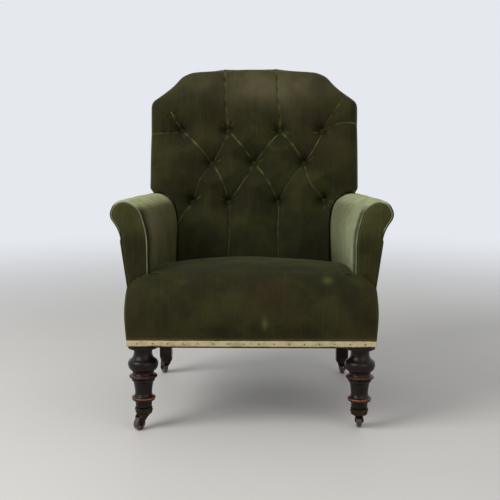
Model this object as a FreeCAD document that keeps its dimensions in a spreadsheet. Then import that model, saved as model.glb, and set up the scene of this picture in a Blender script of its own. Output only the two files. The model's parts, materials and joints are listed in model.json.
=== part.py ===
import FreeCAD, Part
import math
import os

import Sketcher
from FreeCAD import Placement, Rotation, Vector

# Button back armchair, in millimetres. It stands on the floor at z = 0 and faces -Y, +X is the
# sitter's left, and the origin lies on the floor under the middle of the chair's outer box.

doc = FreeCAD.newDocument("button_back_armchair")
sheet = doc.addObject("Spreadsheet::Sheet", "Dimensions")

# Every driving dimension: the alias, its value, and what it measures.
DIMENSIONS = (
    ("chair_depth", 719.5, "front of the seat to the rear of the back"),
    ("rail_underside", 222.0, "floor to the underside of the seat rails"),
    ("rail_height", 80.0, "seat rail, top to bottom"),
    ("rail_thickness", 28.0, "seat rail, front to back"),
    ("frame_half_front", 306.0, "middle to the outside of the seat frame at the front"),
    ("frame_half_back", 290.0, "middle to the outside of the seat frame at the back"),
    ("frame_length", 502.5, "front of the front rail to the front of the back posts"),
    ("seat_bulge", 24.0, "stuffing in front of the front rail at its fullest"),
    ("block_side", 60.0, "square block at the top of a front leg"),
    ("post_width", 36.0, "back post across the chair"),
    ("post_depth", 40.0, "back post front to back at the rail"),
    ("back_rake", 14.0, "lean of the back from upright, in degrees"),
    ("back_frame_thickness", 38.0, "raked part of a back post, front to rear"),
    ("post_length", 532.0, "rail top to the top of a back post, along the rake"),
    ("crest_height", 80.0, "crest rail along the rake"),
    ("stuffing_rail_foot", 72.0, "rail top to the underside of the lower back rail"),
    ("stuffing_rail_height", 42.0, "lower back rail along the rake"),
    ("rear_foot_drift", 24.0, "how far a rear foot stands behind its post"),
    ("rear_foot_side", 34.0, "square end of a rear leg"),
    ("dowel_diameter", 10.0, "beech dowels"),
    ("dowel_bury", 22.0, "depth of a dowel in each piece"),
    ("crest_dowel_bury", 15.0, "depth of a dowel under the crest rail's shoulder"),
    ("glue_gap", 0.1, "clearance of a glued pin in its hole"),
    ("seat_gap", 0.3, "clearance between pieces that only touch"),
    ("wheel_diameter", 34.0, "castor wheel"),
    ("wheel_width", 14.0, "castor wheel along its axle"),
    ("axle_diameter", 5.0, "castor axle"),
    ("running_gap", 0.08, "radial clearance of a turning pin"),
    ("castor_trail", 18.0, "swivel axis to the axle"),
    ("fork_wall", 2.6, "castor fork cheek"),
    ("fork_crown", 4.0, "plate across the top of the fork"),
    ("spindle_diameter", 8.0, "swivel pin"),
    ("cup_floor", 3.2, "bottom of the castor cup"),
    ("cup_depth", 13.3, "castor cup above its floor"),
    ("cup_wall", 2.4, "side of the castor cup"),
    ("rivet_room", 3.0, "space for the spindle's head under the foot"),
    ("front_foot_radius", 19.0, "round end of a front leg"),
    ("rear_foot_radius", 15.0, "round peg of a rear leg"),
    ("screw_diameter", 3.0, "castor cup screws"),
    ("arm_height", 588.0, "floor to the top of an arm at the front"),
    ("arm_fall", 22.0, "how much lower the arm is at the back"),
    ("arm_outside", 358.0, "middle to the outside of an arm's scroll"),
    ("arm_inside_front", 257.0, "middle to the inner face of an arm at the front"),
    ("arm_inside_back", 222.0, "middle to the inner face of an arm at the back"),
    ("arm_post_thickness", 38.0, "front arm post, front to back"),
    ("arm_rail_width", 42.0, "arm rail across the chair"),
    ("arm_rail_height", 28.0, "arm rail, top to bottom"),
    ("arm_foot", 340.0, "floor to the underside of an arm's stuffing"),
    ("arm_rail_inset", 26.0, "outside of a back post to the inner face of an arm rail"),
    ("arm_rail_cover", 62.0, "top of the arm above its rail"),
    ("arm_stuffing_rail_thickness", 20.0, "lower arm rail across the chair"),
    ("arm_stuffing_rail_height", 40.0, "lower arm rail, top to bottom"),
    ("arm_slim", 7.0, "how much nearer to the middle the scroll is at the back"),
    ("facing_margin", 6.0, "edge of the arm to the edge of its facing"),
    ("facing_setback", 58.0, "front of the seat to the front of an arm facing"),
    ("facing_thickness", 5.5, "padded facing panel"),
    ("piping_diameter", 5.0, "covered cord round a facing"),
    ("cover_thickness", 2.0, "velvet with its lining"),
    ("panel_thickness", 5.5, "outside arm panel with its wadding"),
    ("outback_thickness", 3.0, "outside back panel"),
    ("seat_crown", 412.0, "floor to the highest point of the seat"),
    ("seat_rear", 366.0, "floor to the top of the seat where it tucks under the back"),
    ("spring_radius", 36.0, "seat coil spring"),
    ("spring_wire", 3.6, "wire of a seat spring"),
    ("spring_coils", 5.0, "turns of a seat spring"),
    ("spring_top", 352.0, "floor to the hessian over the springs"),
    ("spring_row", -110.0, "middle row of springs, from the middle of the chair"),
    ("spring_pitch_across", 140.0, "seat springs, centre to centre across"),
    ("spring_pitch_along", 125.0, "seat springs, centre to centre front to back"),
    ("strap_width", 50.0, "jute webbing"),
    ("strap_thickness", 2.0, "jute webbing"),
    ("hessian_thickness", 1.2, "hessian and dust cloth"),
    ("back_half_width", 316.0, "middle to the side of the back"),
    ("back_length", 636.0, "rail top to the top of the back, along the rake"),
    ("back_padding", 100.0, "stuffing in front of the back frame"),
    ("back_web_depth", 5.5, "room for webbing and hessian in front of the back frame"),
    ("tuft_depth", 52.0, "how deep a button is pulled in"),
    ("button_diameter", 18.0, "covered button"),
    ("button_thickness", 6.0, "covered button"),
    ("pleat_width", 58.0, "pleat between two buttons, at the surface"),
    ("pleat_depth", 26.0, "pleat halfway between two buttons"),
    ("tape_height", 16.0, "linen tape round the base"),
    ("tape_thickness", 1.3, "linen tape round the base"),
    ("tack_pitch", 38.0, "tacks along the tape"),
    ("tack_radius", 1.7, "head of a tack"),
)


class Size:
    """A length that knows its value and the sheet formula behind it."""

    def __init__(self, value, formula):
        self.value = float(value)
        self.formula = formula

    def __add__(self, other):
        other = as_size(other)
        return Size(self.value + other.value, f"({self.formula} + {other.formula})")

    def __sub__(self, other):
        other = as_size(other)
        return Size(self.value - other.value, f"({self.formula} - {other.formula})")

    def __mul__(self, other):
        other = as_size(other)
        return Size(self.value * other.value, f"({self.formula} * {other.formula})")

    def __truediv__(self, other):
        other = as_size(other)
        return Size(self.value / other.value, f"({self.formula} / {other.formula})")

    def __rsub__(self, other):
        return as_size(other) - self

    def __neg__(self):
        return Size(-self.value, f"(0 - {self.formula})")

    __radd__ = __add__
    __rmul__ = __mul__


def as_size(value):
    return value if isinstance(value, Size) else Size(value, repr(float(value)))


def sine(angle):
    return Size(math.sin(math.radians(angle.value)), f"sin({angle.formula})")


def cosine(angle):
    return Size(math.cos(math.radians(angle.value)), f"cos({angle.formula})")


for row, (alias, value, meaning) in enumerate(DIMENSIONS, start=1):
    sheet.set(f"A{row}", alias)
    sheet.set(f"B{row}", str(value))
    sheet.setAlias(f"B{row}", alias)
    sheet.set(f"C{row}", meaning)
doc.recompute()


def dim(alias):
    """One cell of the sheet."""
    return Size(sheet.get(alias), f"Dimensions.{alias}")


# Levels and planes that several pieces share.
gap = dim("seat_gap")
rail_underside = dim("rail_underside")
rail_top = rail_underside + dim("rail_height")
front_plane = dim("seat_bulge") - dim("chair_depth") / 2
rail_inner_front = front_plane + dim("rail_thickness")
post_front = front_plane + dim("frame_length")
post_rear = post_front + dim("post_depth")
half_front = dim("frame_half_front")
half_back = dim("frame_half_back")
block = dim("block_side")
block_rear = front_plane + block
leg_x = half_front - block / 2
leg_y = front_plane + block / 2
post_inner = half_back - dim("post_width")
rear_foot_x = half_back - dim("post_width") / 2
rear_foot_y = post_front + dim("post_depth") / 2 + dim("rear_foot_drift")
rake_sine = sine(dim("back_rake"))
rake_cosine = cosine(dim("back_rake"))
back_frame = dim("back_frame_thickness")

SIDES = (("left", 1), ("right", -1))
FRONT_TO_BACK = Rotation(Vector(0, 0, 1), Vector(0, 1, 0))
ACROSS = Rotation(Vector(0, 0, 1), Vector(1, 0, 0))
UPRIGHT = Rotation()
RAKED = Rotation(Vector(1, 0, 0), -dim("back_rake").value)


def bind(item, prop, size):
    """Ties one property of an object to its sheet formula."""
    item.setExpression(prop, as_size(size).formula)


def place(item, x, y, z, rotation=UPRIGHT):
    """Puts an object at bound coordinates."""
    item.Placement = Placement(Vector(0, 0, 0), rotation)
    for axis, size in (("x", x), ("y", y), ("z", z)):
        bind(item, f"Placement.Base.{axis}", size)


def box(name, low, high):
    """A block between two corners, each three sizes."""
    item = doc.addObject("Part::Box", name)
    for prop, start, end in zip(("Length", "Width", "Height"), low, high):
        bind(item, prop, end - start)
    place(item, *low)
    return item


def rod(name, start, radius, length, rotation=UPRIGHT):
    """A cylinder from a point along its own axis."""
    item = doc.addObject("Part::Cylinder", name)
    bind(item, "Radius", radius)
    bind(item, "Height", length)
    place(item, *start, rotation)
    return item


def sketch_in(body, plane, corners):
    """A closed sketch with every corner tied to the sheet. A corner is (across, up), or
    (across, up, rise) where the edge that leads to it is an arc that rises by that much."""
    sketch = body.newObject("Sketcher::SketchObject", body.Name + "_sketch")
    planes = {feature.Role: feature for feature in body.Origin.OriginFeatures}
    sketch.AttachmentSupport = [(planes[plane], "")]
    sketch.MapMode = "FlatFace"
    count = len(corners)
    ends = [(as_size(corner[0]), as_size(corner[1])) for corner in corners]
    spots = [Vector(across.value, up.value, 0) for across, up in ends]
    arcs = []
    for index in range(count):
        start, end = spots[index - 1], spots[index]
        rise = corners[index][2] if len(corners[index]) == 3 else None
        if rise is None:
            sketch.addGeometry(Part.LineSegment(start, end))
        else:
            chord = end - start
            square = Vector(-chord.y, chord.x, 0).normalize()
            middle = (start + end) / 2 + square * rise
            # A sketch's arcs run anticlockwise, so one that rises to the left starts at our end.
            sketch.addGeometry(Part.Arc(end, middle, start) if rise > 0 else Part.Arc(start, middle, end))
            arcs.append((index, rise))
    backwards = {index: rise > 0 for index, rise in arcs}
    for index in range(count):
        following = (index + 1) % count
        tail = 1 if backwards.get(index) else 2
        head = 2 if backwards.get(following) else 1
        sketch.addConstraint(Sketcher.Constraint("Coincident", index, tail, following, head))
        across, up = ends[index]
        for kind, size in (("DistanceX", across), ("DistanceY", up)):
            number = sketch.addConstraint(
                Sketcher.Constraint(kind, -1, 1, index, tail, size.value)
            )
            sketch.setExpression(f"Constraints[{number}]", size.formula)
    for index, rise in arcs:
        across = ends[index][0] - ends[index - 1][0]
        up = ends[index][1] - ends[index - 1][1]
        height = as_size(abs(rise))
        radius = ((across * across + up * up) / 4 + height * height) / (2 * height)
        number = sketch.addConstraint(Sketcher.Constraint("Radius", index, radius.value))
        sketch.setExpression(f"Constraints[{number}]", radius.formula)
    return sketch


def padded_sketch(name, plane, corners, length, middle=False):
    """A body that pads one bound sketch, along its plane's normal."""
    body = doc.addObject("PartDesign::Body", name)
    sketch = sketch_in(body, plane, corners)
    pad = body.newObject("PartDesign::Pad", name + "_pad")
    pad.Profile = sketch
    pad.Midplane = middle
    bind(pad, "Length", length)
    return body


def turned(name, corners):
    """A body turned about the upright axis from a bound half profile of (radius, height)."""
    body = doc.addObject("PartDesign::Body", name)
    sketch = sketch_in(body, "XZ_Plane", corners)
    revolution = body.newObject("PartDesign::Revolution", name + "_turning")
    revolution.Profile = sketch
    revolution.ReferenceAxis = (sketch, ["V_Axis"])
    revolution.Angle = 360
    return body


def fused(name, *items):
    item = doc.addObject("Part::MultiFuse", name)
    item.Shapes = list(items)
    return item


def group(name, *items):
    """Separate solids kept under one name."""
    item = doc.addObject("Part::Compound", name)
    item.Links = list(items)
    return item


def cut(name, base, tool):
    item = doc.addObject("Part::Cut", name)
    item.Base = base
    item.Tool = tool
    return item


def feature(name, shape, placement=None):
    """A piece whose shape Part's own functions make."""
    item = doc.addObject("Part::Feature", name)
    item.Shape = shape
    if placement is not None:
        item.Placement = placement
    return item


nodes = {}


def keep(name, item):
    """Names a finished sub-part, and with it the file that it goes to."""
    item.Label = name
    nodes[name] = item
    return item


# Dowelled joints. Each dowel notes the pieces that it is glued into, which are drilled for it later.
dowels = []
drilled = {}


def dowel(piece_a, piece_b, spot, rotation, bury=None):
    """A dowel centred on a joint, with a bore for it in both pieces."""
    number = len(dowels) + 1
    bury = bury or dim("dowel_bury")
    radius = dim("dowel_diameter") / 2
    along = rotation.multVec(Vector(0, 0, 1))
    start = [
        as_size(at) - bury * round(step, 6)
        for at, step in zip(spot, (along.x, along.y, along.z))
    ]
    dowels.append(rod(f"dowel_{number}", start, radius, bury * 2, rotation))
    bore = rod(f"bore_{number}", start, radius + dim("glue_gap"), bury * 2, rotation)
    for piece in (piece_a, piece_b):
        drilled.setdefault(piece, []).append(bore)


def finish_drilled(name, blank):
    """The piece with all its dowel holes."""
    return keep(name, cut(name + "_drilled", blank, group(name + "_bores", *drilled[name])))


def raked_spot(x, along, proud):
    """A point of the back, from its distance up the rake and in front of the back frame."""
    return (
        as_size(x),
        post_front + rake_sine * along - rake_cosine * proud,
        rail_top + rake_cosine * along + rake_sine * proud,
    )


def raked(name, low, high):
    """A block square to the raked back, between two (across, up the rake, proud) corners."""
    item = doc.addObject("Part::Box", name)
    bind(item, "Length", high[0] - low[0])
    bind(item, "Width", high[2] - low[2])
    bind(item, "Height", high[1] - low[1])
    place(item, *raked_spot(low[0], low[1], high[2]), RAKED)
    return item


# Seat frame: rails between square leg blocks in front and the back posts behind.
post_top = dim("post_length")
bend_rise = (dim("post_depth") - back_frame * rake_cosine) / (rake_sine / rake_cosine)
bend_z = rail_top - back_frame * rake_sine + bend_rise
castor_axle_z = dim("wheel_diameter") / 2
crown_underside = dim("wheel_diameter") + 1.5
cup_underside = crown_underside + dim("fork_crown") + gap
cup_floor_top = cup_underside + dim("cup_floor")
foot_end = cup_floor_top + dim("rivet_room")
cup_rim = cup_floor_top + dim("cup_depth")


def seat_frame():
    inner = half_front - block
    blanks = {}
    blanks["front_seat_rail"] = box(
        "front_rail_blank",
        (-inner, front_plane, rail_underside),
        (inner, rail_inner_front, rail_top),
    )
    blanks["back_seat_rail"] = box(
        "back_rail_blank",
        (-post_inner, post_front, rail_underside),
        (post_inner, post_front + dim("rail_thickness"), rail_top),
    )
    for side, sign in SIDES:
        name = f"{side}_seat_rail"
        corners = [
            (sign * half_front, block_rear),
            (sign * half_back, post_front),
            (sign * (half_back - dim("rail_thickness")), post_front),
            (sign * (half_front - dim("rail_thickness")), block_rear),
        ]
        blank = padded_sketch(name + "_blank", "XY_Plane", corners, dim("rail_height"))
        place(blank, 0, 0, rail_underside)
        blanks[name] = blank
    for level in (0.28, 0.72):
        z = rail_underside + dim("rail_height") * level
        for side, sign in SIDES:
            rail_y = front_plane + dim("rail_thickness") / 2
            back_rail_y = post_front + dim("rail_thickness") / 2
            front_x = half_front - dim("rail_thickness") / 2
            back_x = half_back - dim("rail_thickness") / 2
            dowel("front_seat_rail", f"{side}_front_leg", (sign * inner, rail_y, z), ACROSS)
            dowel("back_seat_rail", f"{side}_back_post", (sign * post_inner, back_rail_y, z), ACROSS)
            dowel(f"{side}_seat_rail", f"{side}_front_leg", (sign * front_x, block_rear, z), FRONT_TO_BACK)
            dowel(f"{side}_seat_rail", f"{side}_back_post", (sign * back_x, post_front, z), FRONT_TO_BACK)
    return blanks


def back_posts():
    """Rear leg and back upright, sawn in one piece, with a round peg for the castor cup."""
    blanks = {}
    half_foot = dim("rear_foot_side") / 2
    top = raked_spot(0, post_top, 0)
    top_rear = raked_spot(0, post_top, -back_frame)
    corners = [
        (rear_foot_y - half_foot, cup_rim),
        (rear_foot_y + half_foot, cup_rim),
        (post_rear, rail_underside),
        (post_rear, bend_z),
        (top_rear[1], top_rear[2]),
        (top[1], top[2]),
        (post_front, rail_top),
        (post_front, rail_underside),
    ]
    for side, sign in SIDES:
        name = f"{side}_back_post"
        plank = padded_sketch(name + "_plank", "YZ_Plane", corners, dim("post_width"), True)
        place(plank, sign * rear_foot_x, 0, 0)
        peg = rod(
            name + "_peg",
            (sign * rear_foot_x, rear_foot_y, foot_end),
            dim("rear_foot_radius"),
            cup_rim - foot_end,
        )
        blanks[name] = fused(name + "_blank", plank, peg)
    return blanks


# Legs. A front leg is one piece: a square block for the rails above a turned foot.
def front_legs():
    blanks = {}
    foot = dim("front_foot_radius")
    # Radius, height above the floor, and how far the edge that leads there swells.
    profile = [
        (0, foot_end),
        (foot, foot_end),
        (foot, cup_rim),
        (foot + 1.5, cup_rim + 2.5),
        (foot + 2.5, cup_rim + 15),
        (foot + 4.5, cup_rim + 17),
        (foot + 6.5, cup_rim + 18.5, -0.5),
        (foot + 10.5, cup_rim + 23, -1.2),
        (foot + 10.2, cup_rim + 28, -1.4),
        (foot + 4.0, cup_rim + 34, 1.2),
        (foot + 2.6, cup_rim + 37),
        (foot + 6.8, cup_rim + 68, 0.9),
        (foot + 8.5, cup_rim + 70),
        (foot + 10.5, cup_rim + 73.5, -1.0),
        (foot + 9.5, cup_rim + 76.5, -0.8),
        (foot + 15.5, cup_rim + 79.5, 0.8),
        (foot + 15.0, cup_rim + 85, -1.8),
        (foot + 8.0, cup_rim + 91, 1.6),
        (foot + 8.2, cup_rim + 96),
        (foot + 19.0, cup_rim + 111, -2.6),
        (foot + 12.0, cup_rim + 127, -3.4),
        (foot + 4.5, cup_rim + 147, 2.6),
        (foot + 4.2, rail_underside - 10),
        (foot + 17.6, rail_underside - 10),
        (foot + 19.0, rail_underside - 8, -0.5),
        (foot + 19.0, rail_underside),
        (0, rail_underside),
    ]
    for side, sign in SIDES:
        name = f"{side}_front_leg"
        turning = turned(name + "_turning", profile)
        place(turning, sign * leg_x, leg_y, 0)
        low = (sign * leg_x - block / 2, front_plane, rail_underside)
        high = (sign * leg_x + block / 2, block_rear, rail_top)
        blanks[name] = fused(name + "_blank", turning, box(name + "_block", low, high))
    return blanks



# Rails of the back: a shouldered crest on top of the posts and a straight rail between them.
crest_foot = post_top
crest_top = crest_foot + dim("crest_height")


def back_rails():
    half_thickness = back_frame / 2
    crest_corners = [
        (-half_back, 0),
        (half_back, 0),
        (half_back - 8, dim("crest_height") * 0.05),
        (half_back - 24, dim("crest_height") * 0.22),
        (half_back - 46, dim("crest_height") * 0.5),
        (half_back - 84, dim("crest_height") * 0.95),
        (half_back - 120, dim("crest_height")),
        (-half_back + 120, dim("crest_height")),
        (-half_back + 84, dim("crest_height") * 0.95),
        (-half_back + 46, dim("crest_height") * 0.5),
        (-half_back + 24, dim("crest_height") * 0.22),
        (-half_back + 8, dim("crest_height") * 0.05),
    ]
    crest = padded_sketch("crest_blank", "XZ_Plane", crest_corners, back_frame)
    place(crest, *raked_spot(0, crest_foot, -back_frame), RAKED)
    low = (-post_inner, dim("stuffing_rail_foot"), -back_frame)
    high = (post_inner, dim("stuffing_rail_foot") + dim("stuffing_rail_height"), as_size(0))
    lower = raked("stuffing_rail_blank", low, high)
    middle = dim("stuffing_rail_foot") + dim("stuffing_rail_height") / 2
    for side, sign in SIDES:
        post = f"{side}_back_post"
        crest_spot = raked_spot(sign * (post_inner + 8), crest_foot, -half_thickness)
        dowel("back_crest_rail", post, crest_spot, RAKED, dim("crest_dowel_bury"))
        dowel("back_stuffing_rail", post, raked_spot(sign * post_inner, middle, -half_thickness), ACROSS)
    return {"back_crest_rail": crest, "back_stuffing_rail": lower}


# The arms. Their shape is a control polygon that is rounded and lofted along the chair.
facing_front = dim("facing_setback") - dim("chair_depth") / 2
arm_front = facing_front + dim("facing_thickness") + gap
arm_post_rear = arm_front + dim("arm_post_thickness")
arm_frame_inner = half_back - dim("arm_rail_inset")
neck_drop = 80.0
neck_set_in = 24.0


def frame_side(y):
    """Outside of the seat frame at a place along it."""
    taper = (y - block_rear.value) / (post_front.value - block_rear.value)
    taper = min(max(taper, 0.0), 1.0)
    return half_front.value + (half_back.value - half_front.value) * taper


def arm_share(y):
    """0 at the front of an arm, 1 where it meets the back."""
    return (y - arm_front.value) / (post_front.value - arm_front.value)


def arm_inner_face(y):
    start = dim("arm_inside_front").value
    end = dim("arm_inside_back").value
    return start + (end - start) * min(arm_share(y), 1.0)


def arm_top(y):
    return dim("arm_height").value - dim("arm_fall").value * arm_share(y)


def arm_outer(y):
    return dim("arm_outside").value - dim("arm_slim").value * arm_share(y)


def inset_polygon(points, inset):
    """An anticlockwise polygon with every side moved inwards by the same distance."""
    moved = []
    count = len(points)
    for index in range(count):
        here = Vector(*points[index], 0)
        before = (here - Vector(*points[index - 1], 0)).normalize()
        after = (Vector(*points[(index + 1) % count], 0) - here).normalize()
        first = Vector(-before.y, before.x, 0)
        second = Vector(-after.y, after.x, 0)
        corner = here + (first + second) * (inset / (1 + first.dot(second)))
        moved.append((corner.x, corner.y))
    return moved


def rounded_wire(points, at, sharp=(), share=0.45):
    """A closed wire round a control polygon. An arc rounds each corner that isn't sharp, and takes
    the same share of the shorter side both ways. at() puts a point of the polygon in space."""
    corners = [at(*point) for point in points]
    count = len(corners)
    turns = []
    for index, corner in enumerate(corners):
        back = corners[index - 1] - corner
        ahead = corners[(index + 1) % count] - corner
        if index in sharp:
            turns.append((corner, None, corner))
            continue
        reach = share * min(back.Length, ahead.Length)
        back.normalize()
        ahead.normalize()
        half_turn = back.getAngle(ahead) / 2
        inwards = (back + ahead).normalize()
        centre = corner + inwards * (reach / math.cos(half_turn))
        middle = centre - inwards * (reach * math.tan(half_turn))
        turns.append((corner + back * reach, middle, corner + ahead * reach))
    edges = []
    for index, (start, middle, end) in enumerate(turns):
        edges.append(Part.LineSegment(turns[index - 1][2], start).toShape())
        if middle is not None:
            edges.append(Part.Arc(start, middle, end).toShape())
    return Part.Wire(edges)


def arm_outline(y, foot, inset, upright=False):
    """Control polygon (across, up) of an arm at a place along it: flat inner face, rolled top,
    and a neck under the roll. Below the neck its outer wall leans in, unless it is upright."""
    inner = arm_inner_face(y)
    outer = arm_outer(y)
    top = arm_top(y)
    neck = (outer - neck_set_in, top - neck_drop)
    floor_z = foot - inset
    lean = 0.0 if upright else (neck[0] - frame_side(y)) / (neck[1] - rail_top.value)
    points = [
        (inner, floor_z),
        (neck[0] + lean * (floor_z - neck[1]), floor_z),
        neck,
        (outer + 3, top - 40),
        (outer - 12, top - 6),
        (inner + 55, top + 3),
        (inner + 18, top - 22),
        (inner, top - 88),
    ]
    return inset_polygon(points, inset)


def arm_form(foot, inset, ahead=0.0, upright=False):
    """The whole of a left arm as one solid. ahead starts it further forward."""
    front = arm_front.value
    stations = (
        (front - ahead, 4.5),
        (front + 3.5, 1.3),
        (front + 9.0, 0.0),
        (post_front.value, 0.0),
        (post_front.value + 150, 0.0),
    )
    wires = []
    for y, softened in stations:
        outline = arm_outline(y, foot, inset + softened, upright)
        wires.append(rounded_wire(outline, lambda x, z, y=y: Vector(x, y, z), sharp=(0, 1)))
    return Part.makeLoft(wires, True, True)


def prism(points, low, high):
    """An upright block from an outline on the floor."""
    corners = [Vector(x, y, low) for x, y in points]
    return Part.Face(Part.makePolygon(corners + corners[:1])).extrude(Vector(0, 0, high - low))


def side_prism(points, low, high):
    """A block across the chair from an outline (y, z) seen from the side."""
    corners = [Vector(low, y, z) for y, z in points]
    return Part.Face(Part.makePolygon(corners + corners[:1])).extrude(Vector(high - low, 0, 0))


def raked_point(x, along, proud):
    return Vector(*(size.value for size in raked_spot(x, along, proud)))


def raked_block(low, high):
    """A plain block square to the back, between (across, up the rake, proud) corners."""
    corner = raked_point(low[0], low[1], high[2])
    block_shape = Part.makeBox(high[0] - low[0], high[2] - low[2], high[1] - low[1])
    block_shape.Placement = Placement(corner, RAKED)
    return block_shape


def mirrored(shape):
    return shape.mirror(Vector(0, 0, 0), Vector(1, 0, 0))


def on_side(shape, sign):
    return shape if sign > 0 else mirrored(shape)


def arm_frame():
    """Front posts cut to the scroll's outline, and the rails that run back from them."""
    blanks = {}
    rail_height = dim("arm_rail_height")
    front_top = dim("arm_height") - dim("arm_rail_cover")
    back_top = front_top - dim("arm_fall")
    slant = rake_sine / rake_cosine
    top_end = post_front + (back_top - rail_top) * slant
    foot_end_y = post_front + (back_top - rail_height - rail_top) * slant
    rail_corners = [
        (arm_post_rear, front_top - rail_height),
        (foot_end_y, back_top - rail_height),
        (top_end, back_top),
        (arm_post_rear, front_top),
    ]
    low = dim("arm_foot")
    high = low + dim("arm_stuffing_rail_height")
    lower_corners = [
        (arm_post_rear, low),
        (post_front + (low - rail_top) * slant, low),
        (post_front + (high - rail_top) * slant, high),
        (arm_post_rear, high),
    ]
    rail_x = arm_frame_inner + dim("arm_rail_width") / 2
    lower_x = arm_frame_inner + dim("arm_stuffing_rail_thickness") / 2
    dowel_x = (arm_frame_inner + half_back) / 2
    outline = arm_outline(arm_front.value, rail_top.value, dim("facing_margin").value)
    wire = rounded_wire(outline, lambda x, z: Vector(x, arm_front.value, z), sharp=(0, 1))
    board = Part.Face(wire).extrude(Vector(0, dim("arm_post_thickness").value, 0))
    trim = Part.makeBox(arm_frame_inner.value, 200, 800, Vector(0, arm_front.value - 50, 0))
    board = board.cut(trim)
    for side, sign in SIDES:
        post = f"{side}_arm_post"
        blanks[post] = feature(post + "_blank", on_side(board, sign))
        rail = padded_sketch(f"{side}_arm_rail_blank", "YZ_Plane", rail_corners, dim("arm_rail_width"), True)
        place(rail, sign * rail_x, 0, 0)
        blanks[f"{side}_arm_rail"] = rail
        thickness = dim("arm_stuffing_rail_thickness")
        lower = padded_sketch(f"{side}_lower_arm_rail_blank", "YZ_Plane", lower_corners, thickness, True)
        place(lower, sign * lower_x, 0, 0)
        blanks[f"{side}_arm_stuffing_rail"] = lower
        back_post = f"{side}_back_post"
        rail_mid = front_top - rail_height / 2
        lower_mid = (low + high) / 2
        dowel(post, f"{side}_arm_rail", (sign * dowel_x, arm_post_rear, rail_mid), FRONT_TO_BACK)
        dowel(post, f"{side}_arm_stuffing_rail", (sign * lower_x, arm_post_rear, lower_mid), FRONT_TO_BACK)
        back_mid = (back_top - rail_height / 2 - rail_top) / rake_cosine
        tilt = RAKED.multiply(FRONT_TO_BACK)
        dowel(f"{side}_arm_rail", back_post, raked_spot(sign * dowel_x, back_mid, 0), tilt)
        lower_back = (lower_mid - rail_top) / rake_cosine
        dowel(f"{side}_arm_stuffing_rail", back_post, raked_spot(sign * lower_x, lower_back, 0), tilt)
        stub_y = arm_front + 10
        dowel(post, f"{side}_front_leg", (sign * (half_front - block / 3), stub_y, rail_top), UPRIGHT)
    return blanks


def corner_blocks():
    """Glue blocks in the four corners of the seat frame."""
    reach = 44.0
    height = dim("rail_height") - 20
    low = rail_underside + 10
    slope = (half_front - half_back) / (post_front - block_rear)
    rail_inside = half_back - dim("rail_thickness")
    blocks = []
    for side, sign in SIDES:
        front_inner = half_front - block
        front = [
            (sign * front_inner, rail_inner_front),
            (sign * (front_inner - reach), rail_inner_front),
            (sign * front_inner, block_rear),
        ]
        rear = [
            (sign * rail_inside, post_front),
            (sign * (rail_inside - reach), post_front),
            (sign * (rail_inside + slope * reach), post_front - reach),
        ]
        for end, corners in (("front", front), ("rear", rear)):
            item = padded_sketch(f"{side}_{end}_corner_block", "XY_Plane", corners, height)
            place(item, 0, 0, low)
            blocks.append(item)
    return keep("corner_blocks", group("corner_block_group", *blocks))


# Castors. The wheel trails behind the swivel, so each castor has its own heading.
CASTORS = (
    ("front_left", 1, "front", 82.0),
    ("front_right", -1, "front", 236.0),
    ("rear_left", 1, "rear", 74.0),
    ("rear_right", -1, "rear", 118.0),
)
axle_reach = dim("wheel_width") / 2 + 0.5 + dim("fork_wall")
screw_height = cup_floor_top + 7


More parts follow.
